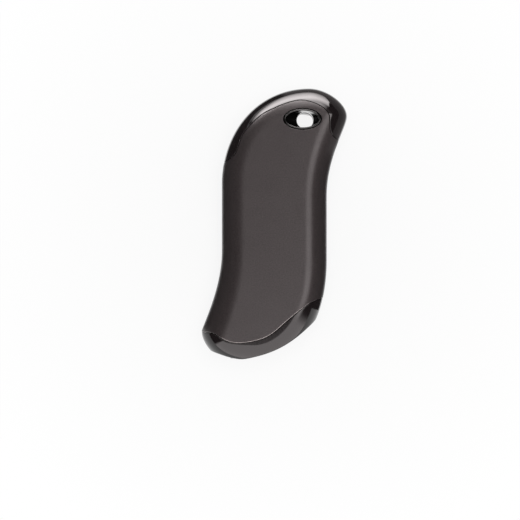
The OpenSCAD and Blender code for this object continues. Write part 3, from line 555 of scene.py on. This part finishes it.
def make_piece(name, points, faces, materials, replaced, slot, body="base"):
    """Mesh object from points in millimetres about the middle plane, riding on a body.
    It stands for the nodes in replaced, and takes its finish from materials. The slot is not
    used."""
    mesh = bpy.data.meshes.new(name)
    place = (points + np.array([0, 0, MIDDLE_Z])) * MM
    mesh.from_pydata(place, [], faces)
    mesh.polygons.foreach_set("use_smooth", np.ones(len(mesh.polygons), bool))
    mesh.validate()
    mesh.update()
    for material in materials:
        mesh.materials.append(material)
    piece = add_object(name, mesh)
    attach(piece, body)
    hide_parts(*replaced)
    return piece


# ---------------------------------------------------------------- materials


class Nodes:
    """A node tree, and short ways to fill it."""

    def __init__(self, tree):
        self.tree = tree

    def node(self, kind, settings=(), **inputs):
        """New node with its settings, and with values or links on its named inputs."""
        n = self.tree.nodes.new(kind)
        for key, value in dict(settings).items():
            setattr(n, key, value)
        for key, value in inputs.items():
            self.put(n.inputs[key.replace("_", " ")], value)
        return n

    def put(self, socket, value):
        """Links an output to the socket, or sets the socket's own value."""
        if isinstance(value, bpy.types.NodeSocket):
            self.tree.links.new(value, socket)
        else:
            socket.default_value = value

    def join(self, kind, *values, **settings):
        """Output of a node whose inputs take the values in order."""
        n = self.node(kind, settings)
        for socket, value in zip(n.inputs, values):
            self.put(socket, value)
        return n.outputs[0]

    def seen(self):
        """1 for rays from the camera, gloss or glass, and 0 for the light on surfaces."""
        path = self.node("ShaderNodeLightPath").outputs
        last = path["Is Camera Ray"]
        for name in ("Is Glossy Ray", "Is Transmission Ray"):
            last = self.join("ShaderNodeMath", last, path[name], operation="MAXIMUM")
        return last


class Mat(Nodes):
    """A material with a Principled shader and Object coordinates."""

    def __init__(self, name):
        self.material = bpy.data.materials.new(name)
        self.material.use_nodes = True
        super().__init__(self.material.node_tree)
        self.shader = self.tree.nodes["Principled BSDF"]
        self.coords = self.node("ShaderNodeTexCoord").outputs["Object"]

    def stretched(self, scale):
        """Object coordinates scaled along each axis, for brushed marks."""
        return self.node("ShaderNodeMapping", Vector=self.coords,
                         Scale=scale).outputs["Vector"]

    def noise(self, scale, detail=3.0, rough=0.5, vector=None):
        """Soft noise with so many patches a metre."""
        n = self.node("ShaderNodeTexNoise", Vector=vector or self.coords, Scale=scale,
                      Detail=detail, Roughness=rough)
        return n.outputs["Fac"]

    def cells(self, scale, feature="F1"):
        """Distance in a field of cells, with so many a metre."""
        n = self.node("ShaderNodeTexVoronoi", {"feature": feature}, Vector=self.coords,
                      Scale=scale)
        return n.outputs["Distance"]

    def to_range(self, value, low, high, start=0.0, end=1.0):
        """Goes from low to high as the value goes from start to end."""
        n = self.node("ShaderNodeMapRange", Value=value, From_Min=start, From_Max=end,
                      To_Min=low, To_Max=high)
        return n.outputs["Result"]

    def ramp(self, value, *stops):
        """Colour ramp with two stops, each a place and a colour."""
        n = self.node("ShaderNodeValToRGB", Fac=value)
        for element, (place, col) in zip(n.color_ramp.elements, stops):
            element.position = place
            element.color = (*col, 1.0)
        return n.outputs["Color"]

    def shades(self, value, col, low, high):
        """The colour times low to the colour times high, over the noise's main range."""
        return self.ramp(value, *((place, tuple(min(1.0, c * times) for c in col))
                                  for place, times in ((0.3, low), (0.7, high))))

    def bump(self, height, strength, distance):
        """Normal of a height map, with its depth in metres."""
        return self.node("ShaderNodeBump", Height=height, Strength=strength,
                         Distance=distance).outputs["Normal"]

    def set(self, **inputs):
        """Puts values or links on the shader, and returns the material."""
        for key, value in inputs.items():
            if isinstance(value, tuple):
                value = (*value, 1.0)
            self.put(self.shader.inputs[key.replace("_", " ")], value)
        return self.material


def sleeve_finish():
    """Fine matte coating on blasted metal: grains of about 0.6 mm over a soft mottle."""
    f = props("finish")
    m = Mat("sleeve_coating")
    return m.set(
        Base_Color=m.shades(m.noise(1500.0, 3.0, 0.7), f.sleeve, 0.7, 1.3),
        Roughness=m.to_range(m.noise(160.0, 3.0, 0.55), f.sleeve_rough - 0.015,
                             f.sleeve_rough + 0.02, 0.3, 0.7),
        Normal=m.bump(m.noise(1700.0, 4.0, 0.75), 0.5, 0.00004),
        Specular_IOR_Level=0.42)


def worn_edge_highlight():
    """Cut edge of the sleeve where the coating is rubbed thin over the metal. Its light grey
    is partly wear and partly a painted highlight line along the lower seam.
    """
    m = Mat("sleeve_worn_edge_highlight")
    rub_and_highlight = m.noise(700.0, 3.0, 0.6)
    return m.set(Base_Color=m.ramp(rub_and_highlight, (0.3, (0.22, 0.205, 0.20)),
                                   (0.7, (0.36, 0.335, 0.33))),
                 Roughness=m.to_range(rub_and_highlight, 0.26, 0.36, 0.3, 0.7),
                 Normal=m.bump(rub_and_highlight, 0.1, 0.00002), Metallic=1.0)


def gloss_finish(name, col, rough):
    """Polished black moulding with a faint swell and hairline wear in its gloss."""
    m = Mat(name)
    wear = m.noise(900.0, 4.0, 0.7, m.stretched((1.0, 0.12, 1.0)))
    return m.set(Base_Color=m.shades(m.noise(40.0), col, 0.9, 1.15),
                 Roughness=m.to_range(wear, rough * 0.8, rough * 1.5, 0.35, 0.75),
                 Normal=m.bump(m.noise(90.0, 1.0, 0.4), 0.12, 0.00005), IOR=1.5)


def moulded_finish(name, col, rough, scale=3000.0, strength=0.3):
    """Matte moulded plastic, ceramic, rubber or paper: spark-eroded grain and mottle."""
    m = Mat(name)
    return m.set(
        Base_Color=m.shades(m.noise(scale * 0.2, 3.0, 0.6), col, 0.88, 1.12),
        Roughness=m.to_range(m.noise(scale * 0.1), rough - 0.05, rough + 0.06, 0.3, 0.7),
        Normal=m.bump(m.cells(scale), strength, 0.00003))


def metal_finish(name, col, rough, stretch):
    """Rolled or brushed metal: noise drawn out along one axis in gloss and height."""
    m = Mat(name)
    lines = m.noise(2400.0, 3.0, 0.65, m.stretched(stretch))
    return m.set(Base_Color=m.shades(m.noise(260.0), col, 0.92, 1.05),
                 Roughness=m.to_range(lines, rough * 0.75, rough * 1.35, 0.3, 0.7),
                 Normal=m.bump(lines, 0.18, 0.00002), Metallic=1.0)


# ---------------------------------------------------------------- pieces


class WARMER_OT_sleeve(bpy.types.Operator):
    """Metal sleeve between the two caps, with an oval hole on each side for the eyelet."""

    bl_idname = "warmer.sleeve"
    bl_label = "Build Sleeve"

    def execute(self, context):
        fine, bands = 8, 30
        b, seams, eye = props("body"), props("seams"), props("eyelet")
        shell = Shell(*body_mesh(fine, bands, b.sleeve_wall))
        up, low = top_seam(), low_seam()
        lip, gap = seams.sleeve_lip, seams.seam_gap
        fields = [
            lambda p: -side_of(up, p) - gap - lip,
            lambda p: side_of(low, p) - gap - lip,
            lambda p: oval_distance(p) - eye.gap - lip,
        ]
        for field in fields:
            shell.cut(field)
        points, faces = shell.close([(field, lip, None) for field in fields])
        piece = make_piece("sleeve_skin", points, faces, [sleeve_finish(), worn_edge_highlight()],
                           replaced=["sleeve"], slot="anodised_sleeve")
        # The lower seam's lip takes the lighter worn-metal colour, partly wear and partly a
        # painted highlight line.
        first, last = shell.lips[1]
        worn_highlight_marks = np.zeros(len(piece.data.polygons), np.int32)
        worn_highlight_marks[first:last] = 1
        piece.data.polygons.foreach_set("material_index", worn_highlight_marks)
        return {"FINISHED"}


class WARMER_OT_caps(bpy.types.Operator):
    """Gloss end caps. The lower one ends in a face with the button and the port bay."""

    bl_idname = "warmer.caps"
    bl_label = "Build End Caps"

    def execute(self, context):
        f = props("finish")
        gloss = gloss_finish("cap_gloss", tuple(f.cap), f.cap_rough)
        self.top_cap(gloss)
        self.bottom_cap(gloss)
        return {"FINISHED"}

    def top_cap(self, gloss):
        """The upper half's crown, lobe and most of its flank, and its first ribs."""
        wall, lip = props("body").cap_wall, props("seams").cap_lip
        fine, bands, ribs = 14, 44, 14
        columns = np.arange(STEPS[0] * fine, (sum(STEPS) - 2) * fine)
        shell = Shell(*body_mesh(fine, bands, wall, columns, np.arange(ribs * fine)))
        up = top_seam()

        def seam(p):
            return side_of(up, p) - lip

        shell.cut(seam)
        make_piece("top_cap_skin", *shell.close([(seam, lip, None)]), [gloss],
                   replaced=["top_cap"], slot="gloss_caps")

    def bottom_cap(self, gloss):
        """The same columns of the lower half, and its last ribs, pressed onto the end
        face, with a hole for the button and one for the ports."""
        b, lip, end = props("body"), props("seams").cap_lip, props("end")
        fine, bands, ribs = 18, 52, (16, 30)
        half = sum(STEPS) * fine
        points, faces = body_mesh(
            fine, bands, b.cap_wall, half + np.arange(STEPS[0] * fine, half - 2 * fine),
            np.arange(ribs[0] * fine, ribs[1] * fine + 1))
        points = np.concatenate([press_to_end(points[:, :3], 0.0),
                                 press_to_end(points[:, 3:], b.end_wall)], 1)
        shell = Shell(points, faces)
        low = low_seam()
        origin, along, inward = end_frame()
        hole = 0.25    # rounding of both holes
        button_deep = np.array([0, 3.4, 0])
        bay_deep = np.array([*((end.bay_depth + end.plate) * inward), 0])

        def seam(p):
            return -side_of(low, p) - lip

        def button_hole(p):
            """Distance from the button's hole, measured in the plane across its axis."""
            return (np.hypot(p[:, 0] + b.end_low_x, p[:, 2]) - end.button / 2
                    - end.button_gap - hole)

        def bay_hole(p):
            """Distance from a slot with round ends in the plane of the flat end."""
            s = (p[:, :2] - origin) @ along
            half = (end.bay_length - end.bay_width) / 2
            return (np.hypot(np.maximum(np.abs(s) - half, 0), p[:, 2])
                    - end.bay_width / 2 - hole)

        for field in (seam, button_hole, bay_hole):
            shell.cut(field)
        points, faces = shell.close([(seam, lip, None), (button_hole, hole, button_deep),
                                     (bay_hole, hole, bay_deep)])
        make_piece("bottom_cap_skin", points, faces, [gloss], replaced=["bottom_cap"],
                   slot="gloss_caps")


def eyelet_centre():
    """Middle of the eyelet in plan."""
    b = props("body")
    return np.array([b.crown_x, b.body_length / 2]) - EYELET_OFF


def oval_distance(p):
    """Distance from the bezel's oval, to first order: (f - 1) f / |grad|, where f is the
    length of the point with each axis divided by its half axis."""
    e = props("eyelet")
    half = np.array([e.length / 2, e.width / 2])
    q = (p[:, :2] - eyelet_centre()) / half
    f = np.linalg.norm(q, axis=1)
    return (f - 1) * f / np.maximum(np.linalg.norm(q / half, axis=1), 1e-9)


class WARMER_OT_eyelets(bpy.types.Operator):
    """Oval bezels with a dished mouth that runs down to the round lanyard hole."""

    bl_idname = "warmer.eyelets"
    bl_label = "Build Eyelet Bezels"

    def execute(self, context):
        f = props("finish")
        gloss = gloss_finish("bezel_gloss", tuple(f.bezel), 0.05)
        for name, node, side in (("eyelet_front_bezel", "eyelet_front", 1),
                                 ("eyelet_back_bezel", "eyelet_back", -1)):
            points, faces = self.bezel()
            if side < 0:
                points, faces = points * [1, 1, -1], faces[:, ::-1]
            make_piece(name, points, faces, [gloss], replaced=[node],
                       slot="gloss_bezels")
        return {"FINISHED"}

    def bezel(self):
        """Loops from the foot up the outside, over a sunk ring and a round bead, down an
        upright well and a cone to the bore. A loop is the oval shrunk by g, mixed with
        the bore's circle by share w."""
        e, half_t = props("eyelet"), props("body").thickness / 2
        turn = np.radians(np.arange(0, 360, 2.5))
        ring = np.stack([np.cos(turn), np.sin(turn)], 1)
        half = np.array([e.length / 2, e.width / 2])
        q = np.radians(np.arange(0, 181, 12))
        inner = e.ring + 2 * e.bead
        rows = [(0.0, 0.0, 0.0), (0.0, half_t - e.sunk - 0.05, 0.0),
                (0.05, half_t - e.sunk, 0.0), (e.ring, half_t - e.sunk, 0.0)]
        rows += [(e.ring + e.bead * (1 - math.cos(a)),
                  half_t - e.bead * (1 - math.sin(a)), 0.0) for a in q]
        rows += [(inner, half_t - e.bead - (e.well - e.bead) * t, 0.0)
                 for t in np.linspace(0, 1, 9)[1:]]
        rows += [(inner, half_t - e.well - (e.depth - e.well) * t, t)
                 for t in np.linspace(0, 1, 19)[1:]]
        rows.append((inner, 0.0, 1.0))
        loops = []
        for g, z, w in rows:
            plan = (1 - w) * ring * (half - g) + w * (ring * e.bore / 2 + (e.shift, 0))
            loops.append(np.column_stack([plan + eyelet_centre(), np.full(len(turn), z)]))
        loops.append(loops[0])
        return lathe_rows(np.array(loops))


class WARMER_OT_button(bpy.types.Operator):
    """Round power button with a dished face and a raised power mark."""

    bl_idname = "warmer.button"
    bl_label = "Build Button"

    def execute(self, context):
        satin = moulded_finish("button_satin", props("finish").plate, 0.32, 5200.0)
        make_piece("button_cap", *self.shape(), [satin], body="button",
                   replaced=["power_button"], slot="satin_black_plastic")
        return {"FINISHED"}

    def shape(self):
        """Rings of radius r at a depth along the axis: pin, collar, side, round edge and
        dish. The dish dips by r0^2 - r^2 over twice its ball's radius, and the mark, a
        ring with a gap and a bar, stands up from it."""
        b = props("body")
        face = -b.body_length / 2 + 0.1
        seat = -b.body_length / 2 + b.end_wall + 1.2 - face
        r0, edge, dish_rows, ball = props("end").button / 2, 0.3, 79, 200 / 9
        pin, collar = 1.5, r0 + 1
        rows = [(0.0, seat + 1.4), (pin, seat + 1.4), (pin, seat + 0.8),
                (collar, seat + 0.8), (collar, seat), (r0, seat)]
        rows += [(r0 - edge * (1 - math.cos(a)), edge * (1 - math.sin(a)))
                 for a in np.radians(np.arange(0, 91, 15))]
        rows += [(r, (r0 ** 2 - r ** 2) / (2 * ball))
                 for r in np.linspace(r0 - edge, 0.0, dish_rows + 1)[1:]]
        radius, depth = np.array(rows).T[:, :, None]
        turn = np.radians(np.arange(0, 360, 2.0))
        x, z = radius * np.cos(turn), radius * np.sin(turn)
        open_top = np.abs(np.arctan2(x, z)) > math.radians(32)
        ring = np.clip(1.3 - np.abs(radius - 1.75) / 0.16, 0, 1) * open_top
        bar = np.clip(1.3 - np.abs(x) / 0.16, 0, 1) * (z > 0.6) * (z < 2.3)
        mark = np.maximum(ring, bar)
        mark[:-dish_rows] = 0
        return lathe_rows(np.stack([x - b.end_low_x, face + depth - 0.09 * mark, z], 2))


class WARMER_OT_dome(bpy.types.Operator):
    """Snap dome behind the switch's plunger, which flattens it when pressed; it is built in
    its rest shape.
    """

    bl_idname = "warmer.dome"
    bl_label = "Build Snap Dome"

    rim = 2.2
    height = 0.6
    thick = 0.1
    seat = -57.3    # its foot along the body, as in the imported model
    pressed = 0.32  # share of its height that is left at the end of the travel

    def execute(self, context):
        steel = metal_finish("dome_steel", (0.60, 0.59, 0.56), 0.26, (1.0, 1.0, 0.1))
        piece = make_piece("snap_dome", *self.shape(), [steel], replaced=["switch_dome"],
                           slot="thin_steel")
        anchor = (-props("body").end_low_x * MM, self.seat * MM, MIDDLE_Z * MM)
        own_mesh(piece)
        return {"FINISHED"}

    def shape(self):
        """Two caps of balls with one centre. The outer ball's radius is (rim^2 + height^2)
        over twice the height, the inner one's is less by the thickness, and both end at the
        seat."""
        ball = (self.rim ** 2 + self.height ** 2) / (2 * self.height)
        sunk = ball - self.height
        inside = ball - self.thick
        inner = np.linspace(0, math.sqrt(inside ** 2 - sunk ** 2), 16)
        outer = np.linspace(self.rim, 0, 16)
        radius = np.concatenate([inner, outer])[:, None]
        lift = np.concatenate([np.sqrt(inside ** 2 - inner ** 2),
                               np.sqrt(ball ** 2 - outer ** 2)])[:, None] - sunk
        turn = np.radians(np.arange(0, 360, 3.0))
        x = radius * np.cos(turn) - props("body").end_low_x
        return lathe_rows(np.stack([x, self.seat - lift + 0 * x, radius * np.sin(turn)], 2))


class WARMER_OT_ports(bpy.types.Operator):
    """Finishes of the port plate, the sockets and the light windows, with soft edges."""

    bl_idname = "warmer.ports"
    bl_label = "Finish Ports"

    edges = {"port_plate": 0.12, "output_socket_shell": 0.08, "input_socket_shell": 0.08,
             "output_socket_tongue": 0.12, "input_socket_tongue": 0.06}

    def execute(self, context):
        dress({
            "port_plate": moulded_finish("plate_satin", props("finish").plate, 0.36,
                                         4600.0),
            "output_socket_shell input_socket_shell": metal_finish(
                "socket_steel", (0.62, 0.61, 0.59), 0.28, (1.0, 0.1, 1.0)),
            "output_socket_tongue": moulded_finish("tongue_white", (0.78, 0.77, 0.74), 0.42),
            "input_socket_tongue": moulded_finish("tongue_black", (0.02, 0.02, 0.021), 0.4),
            "output_socket_contacts": metal_finish("contact_gilt", (0.83, 0.60, 0.22), 0.2,
                                                   (1.0, 0.1, 1.0)),
            "light_pipe": self.clear(),
            "indicator_leds": moulded_finish("light_chip", (0.85, 0.78, 0.45), 0.3),
        })
        for node, width in self.edges.items():
            soften(node, width)
        return {"FINISHED"}

    def clear(self):
        """Clear moulding with a faint milkiness."""
        m = Mat("pipe_clear")
        return m.set(Base_Color=m.ramp(m.noise(500.0), (0.3, (0.80, 0.86, 0.90)),
                                       (0.7, (0.92, 0.95, 0.97))),
                     Roughness=m.to_range(m.noise(1500.0), 0.12, 0.25),
                     Transmission_Weight=0.7, IOR=1.49)


def dress(finishes):
    """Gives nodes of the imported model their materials. A key names one or more nodes."""
    for nodes, material in finishes.items():
        for node in nodes.split():
            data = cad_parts[node].data
            data.materials.clear()
            data.materials.append(material)


def soften(node, width):
    """Small bevel on the hard edges of a node, after its loose triangles are joined."""
    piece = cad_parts[node]
    weld = piece.modifiers.new("join", "WELD")
    weld.merge_threshold = 1e-6
    bevel = piece.modifiers.new("edge", "BEVEL")
    bevel.width = width * MM
    bevel.segments = 2
    bevel.limit_method = "ANGLE"
    bevel.angle_limit = math.radians(40)


class WARMER_OT_insides(bpy.types.Operator):
    """Finishes of everything inside the shell."""

    bl_idname = "warmer.insides"
    bl_label = "Finish Insides"

    def execute(self, context):
        dress({
            "lanyard_frame board_tray chassis_front chassis_back": moulded_finish(
                "frame_plastic", (0.045, 0.045, 0.048), 0.5, 2200.0),
            "frame_screws board_screws switch_cover": metal_finish(
                "plated_steel", (0.60, 0.59, 0.56), 0.3, (1.0, 1.0, 0.1)),
            "top_nickel_strip bottom_nickel_strip": metal_finish(
                "nickel_strip", (0.66, 0.62, 0.55), 0.34, (0.1, 1.0, 1.0)),
            "front_spreader back_spreader": metal_finish(
                "spreader_aluminium", (0.74, 0.75, 0.76), 0.35, (1.0, 0.08, 1.0)),
            "controller_chip power_chips": moulded_finish(
                "chip_epoxy", (0.018, 0.018, 0.02), 0.45, 5200.0),
            "front_pad back_pad": moulded_finish(
                "closed_foam", (0.05, 0.05, 0.055), 0.85, 1500.0, 0.9),
            "left_cell right_cell": self.wrap(),
            "front_heater back_heater": self.film(),
            "control_board": self.board(),
            "switch_base": moulded_finish("switch_black", (0.02, 0.02, 0.02), 0.5),
            "switch_plunger": moulded_finish("switch_ivory", (0.62, 0.57, 0.44), 0.45),
            "power_inductor": moulded_finish("pressed_powder", (0.06, 0.06, 0.063), 0.7,
                                             4200.0, 0.8),
            "board_capacitors": moulded_finish("ceramic_tan", (0.40, 0.27, 0.14), 0.4),
            "heater_connectors": moulded_finish("nylon_ivory", (0.75, 0.71, 0.58), 0.45),
            "cell_insulators": moulded_finish("barley_paper", (0.78, 0.75, 0.68), 0.8,
                                              1800.0, 0.7),
            "heater_thermistors": moulded_finish("bead_black", (0.03, 0.03, 0.03), 0.3),
            "battery_lead_red": moulded_finish("silicone_red", (0.55, 0.02, 0.015), 0.5),
            "battery_lead_black": moulded_finish("silicone_black", (0.02, 0.02, 0.02), 0.5),
        })
        return {"FINISHED"}

    def wrap(self):
        """Shrink wrap: glossy blue with slight wrinkles across the cell."""
        m = Mat("cell_wrap_blue")
        wrinkle = m.noise(600.0, 3.0, 0.6, m.stretched((1.0, 0.25, 1.0)))
        return m.set(Base_Color=m.ramp(m.noise(120.0), (0.3, (0.02, 0.11, 0.25)),
                                       (0.7, (0.03, 0.15, 0.32))),
                     Roughness=m.to_range(wrinkle, 0.22, 0.4),
                     Normal=m.bump(wrinkle, 0.25, 0.00006))

    def film(self):
        """Amber film with the heater's track showing through as copper lines."""
        m = Mat("heater_film_amber")
        wave = m.node("ShaderNodeTexWave", {"wave_type": "BANDS", "bands_direction": "Y"},
                      Vector=m.coords, Scale=110.0, Distortion=1.2).outputs["Fac"]
        return m.set(Base_Color=m.ramp(wave, (0.45, (0.55, 0.25, 0.05)),
                                       (0.55, (0.62, 0.36, 0.16))),
                     Roughness=m.to_range(m.noise(800.0), 0.18, 0.32),
                     Normal=m.bump(wave, 0.2, 0.00003))

    def board(self):
        """Green lacquer over copper: darker where the tracks run."""
        m = Mat("board_lacquer")
        tracks = m.cells(420.0, "DISTANCE_TO_EDGE")
        return m.set(Base_Color=m.ramp(tracks, (0.05, (0.012, 0.13, 0.06)),
                                       (0.12, (0.008, 0.075, 0.035))),
                     Roughness=m.to_range(m.noise(900.0), 0.25, 0.4),
                     Normal=m.bump(tracks, 0.3, 0.00002))


# ---------------------------------------------------------------- stage


def area(value, low, high, soft):
    """1 from low to high and 0 outside, with borders as wide as soft."""
    return (np.clip((value - low) / soft + 0.5, 0, 1)
            * np.clip((high - value) / soft + 0.5, 0, 1))


class WARMER_OT_stage(bpy.types.Operator):
    """Pale floor, lights and the camera above the front face."""

    bl_idname = "warmer.stage"
    bl_label = "Build Stage"

    floor_half, floor_drop = 6.0, 2e-5     # metres
    white_from, white_to = 0.04, 0.17      # where the floor starts and ends turning white
    key_place, key_aim, key_side = (0.12, 0.1, 1.4), (0, 0, 0.014), 1.0
    card_colour = (1.0, 0.94, 0.94, 1.0)
    strip_y = 73.5
    flag_clear = 10.0
    sensor = 36.0
    camera_place = (-6.9, -17.6)

    def execute(self, context):
        self.floor()
        self.key()
        self.tent()
        self.strip()
        self.flag()
        self.world(context.scene)
        self.camera(context.scene)
        context.scene.view_settings.view_transform = "Standard"
        return {"FINISHED"}

    def floor(self):
        """Wide flat sheet just under the warmer, white to the camera and to gloss, and
        more so further out, so that the warmer's shadow shows round it."""
        s, r = props("stage"), self.floor_half
        mesh = bpy.data.meshes.new("floor")
        mesh.from_pydata([(x, y, -self.floor_drop)
                          for x, y in ((-r, -r), (r, -r), (r, r), (-r, r))],
                         [], [(0, 1, 2, 3)])
        add_object("floor", mesh)
        m = Mat("floor_paper")
        m.set(Base_Color=tuple(s.floor), Roughness=0.9, Specular_IOR_Level=0.0)
        away = m.node("ShaderNodeVectorMath", {"operation": "LENGTH"}, Vector=m.coords)
        white = m.join("ShaderNodeMath", m.seen(),
                       m.to_range(away.outputs["Value"], s.glow, 1.0, self.white_from,
                                  self.white_to), operation="MULTIPLY")
        mix = m.join("ShaderNodeMixShader", white, m.shader.outputs[0],
                     m.node("ShaderNodeEmission").outputs[0])
        m.put(m.tree.nodes["Material Output"].inputs["Surface"], mix)
        mesh.materials.append(m.material)

    def key(self):
        """Square lamp above, which lights all surfaces and isn't seen in gloss. A lamp of
        brightness L and area A sends out pi A L watts."""
        lamp = bpy.data.lights.new("key_box", "AREA")
        lamp.shape = "RECTANGLE"
        lamp.size = lamp.size_y = self.key_side
        lamp.energy = math.pi * self.key_side ** 2 * props("stage").key
        box = add_object("key_box", lamp)
        box.location = self.key_place
        way = Vector(self.key_aim) - Vector(self.key_place)
        box.rotation_euler = way.to_track_quat("-Z", "Y").to_euler()
        box.visible_camera = box.visible_glossy = False

    def tent(self):
        """Half sphere of 1 m that only gloss sees. At the polar angle t from straight up
        and the turn a, the panels are areas of t and a, or of x = tan t cos a and
        y = tan t sin a, with soft borders."""
        s = props("stage")
        t, a = np.meshgrid(np.radians(np.linspace(0, 91, 92)),
                           np.radians(np.arange(0, 360, 2)))
        points = np.stack([np.sin(t) * np.cos(a), np.sin(t) * np.sin(a), np.cos(t)], 2)
        x, y = (np.tan(np.minimum(t, 1.55)) * f(a) for f in (np.cos, np.sin))
        angle, turn = np.degrees(t), np.degrees(np.arctan2(np.sin(a), np.cos(a)))
        glow = np.full_like(t, s.upper)
        right = area(turn, -30, 60, 10) * area(angle, 46, 200, 6)
        left = area(np.mod(turn, 360), 140, 222, 12) * area(angle, 27, 200, 8)
        glow += (s.dark - glow) * np.maximum(right, left)
        side = area(x, 0.22, 1.0, 0.12) * area(y, -0.34, 0.12, 0.16)
        glow += (s.side_light - glow) * side
        above = area(turn, 64, 100, 16) * area(angle, 0, 64, 16)
        glow += 0.5 * s.top_light * np.clip((angle - 18) / 32, 0, 1) * above
        low = area(turn, -138, -30, 8) * area(y, -200, -0.12, 0.05)
        glow += (s.low_light - glow) * low
        self.card("light_tent", points, glow, closed=True)

    def strip(self):
        """Upright card close to the top end, low enough for the flat face to look over it.
        Its light grows with height to 27 mm and falls above 29 mm, and its right end
        slants outwards."""
        x, z = np.meshgrid(np.linspace(-42, 44, 87), np.linspace(17, 37, 41))
        height = np.minimum(np.minimum(1, 0.17 + 0.09 * (z - 17.8)), (44.3 - z) / 15)
        left = np.clip((x + 39) / 17, 0, 1)
        right = np.clip((37 + 0.4 * np.maximum(z - 29, 0) - x) / 1.2, 0, 1)
        along = 1 - 0.02 * np.clip(x - 18, 0, 15)
        points = np.stack([x, np.full_like(x, self.strip_y), z], 2) * MM
        self.card("light_strip", points,
                  props("stage").top_light * height * left * right * along)

    def flag(self):
        """Dark wall outside the outline, along the flanks and the top end. It is lower
        round the crown and less dark beside the right lobe."""
        path = outline(-self.flag_clear, 2)
        keep = path[:, 1] > -48
        first = int(np.argmax(keep & ~np.roll(keep, 1)))
        path = np.roll(path, -first, 0)[:int(keep.sum())]
        x, y = path.T
        top = 25 - 8 * np.clip((y - 52) / 10, 0, 1) * np.clip((34 - x) / 6, 0, 1)
        z = top[:, None] * np.linspace(0, 1, 5)
        points = np.concatenate([np.repeat(path[:, None], 5, 1), z[..., None]], 2) * MM
        glow = props("stage").dark + 0.25 * ((x > 0) & (y > 30))
        self.card("dark_flag", points, np.repeat(glow[:, None], 5, 1))

    def card(self, name, points, glow, closed=False):
        """Sheet that only gloss sees, with its brightness at each point of the grid."""
        mesh = bpy.data.meshes.new(name)
        mesh.from_pydata(points.reshape(-1, 3), [], grid_faces(*points.shape[:2], closed))
        mesh.attributes.new("glow", "FLOAT", "POINT").data.foreach_set(
            "value", glow.reshape(-1))
        mesh.validate()
        card = add_object(name, mesh)
        for ray in ("camera", "diffuse", "transmission", "volume_scatter", "shadow"):
            setattr(card, "visible_" + ray, False)
        material = bpy.data.materials.new(name)
        material.use_nodes = True
        material.node_tree.nodes.clear()
        nodes = Nodes(material.node_tree)
        level = nodes.node("ShaderNodeAttribute", {"attribute_name": "glow"})
        light = nodes.node("ShaderNodeEmission", Color=self.card_colour,
                           Strength=level.outputs["Fac"])
        nodes.node("ShaderNodeOutputMaterial", Surface=light.outputs[0])
        mesh.materials.append(material)

    def world(self, scene):
        """White to the camera, gloss and glass; a dim grey fill as light."""
        world = bpy.data.worlds.new("studio")
        world.use_nodes = True
        world.node_tree.nodes.clear()
        nodes = Nodes(world.node_tree)
        fill, white = (nodes.node("ShaderNodeBackground", Color=(1, 1, 1, 1),
                                  Strength=level).outputs[0]
                       for level in (props("stage").fill, 1.0))
        mix = nodes.join("ShaderNodeMixShader", nodes.seen(), fill, white)
        nodes.node("ShaderNodeOutputWorld", Surface=mix)
        scene.world = world

    def camera(self, scene):
        """Looks straight down on the front face, with the lanyard end up."""
        s = props("stage")
        camera = bpy.data.cameras.new("camera")
        camera.lens, camera.sensor_width = s.lens, self.sensor
        camera.clip_start, camera.clip_end = 0.01, 20.0
        eye = add_object("camera", camera)
        distance = s.span * s.lens / self.sensor
        eye.location = [v * MM for v in (*self.camera_place, MIDDLE_Z + distance)]
        scene.camera = eye


# ---------------------------------------------------------------- panel


OPERATORS = (WARMER_OT_sleeve, WARMER_OT_caps, WARMER_OT_eyelets, WARMER_OT_button,
             WARMER_OT_dome, WARMER_OT_ports, WARMER_OT_insides, WARMER_OT_stage)
GROUPS = {"body": WarmerBody, "seams": WarmerSeams, "eyelet": WarmerEyelet,
          "end": WarmerEnd, "finish": WarmerFinish, "stage": WarmerStage}


class WARMER_PT_panel(bpy.types.Panel):
    """Sizes, colours and build buttons of the hand warmer."""

    bl_idname = "WARMER_PT_panel"
    bl_label = "Hand Warmer"
    bl_space_type = "VIEW_3D"
    bl_region_type = "UI"
    bl_category = "Warmer"

    def draw(self, context):
        for name, group in GROUPS.items():
            box = self.layout.box()
            box.label(text=name.capitalize())
            for key in group.__annotations__:
                box.prop(props(name), key)
        for operator in OPERATORS:
            self.layout.operator(operator.bl_idname)


def register():
    """Registers the classes and puts the property groups on the scene."""
    for name, group in GROUPS.items():
        bpy.utils.register_class(group)
        setattr(bpy.types.Scene, "warmer_" + name, bpy.props.PointerProperty(type=group))
    for cls in OPERATORS + (WARMER_PT_panel,):
        bpy.utils.register_class(cls)


def unregister():
    """Takes the classes and the property groups off again."""
    for cls in reversed(OPERATORS + (WARMER_PT_panel,)):
        bpy.utils.unregister_class(cls)
    for name, group in GROUPS.items():
        delattr(bpy.types.Scene, "warmer_" + name)
        bpy.utils.unregister_class(group)


def main():
    """Builds everything in order."""
    register()
    for operator in OPERATORS:
        group, name = operator.bl_idname.split(".")
        getattr(getattr(bpy.ops, group), name)()


if __name__ == "__main__":
    main()
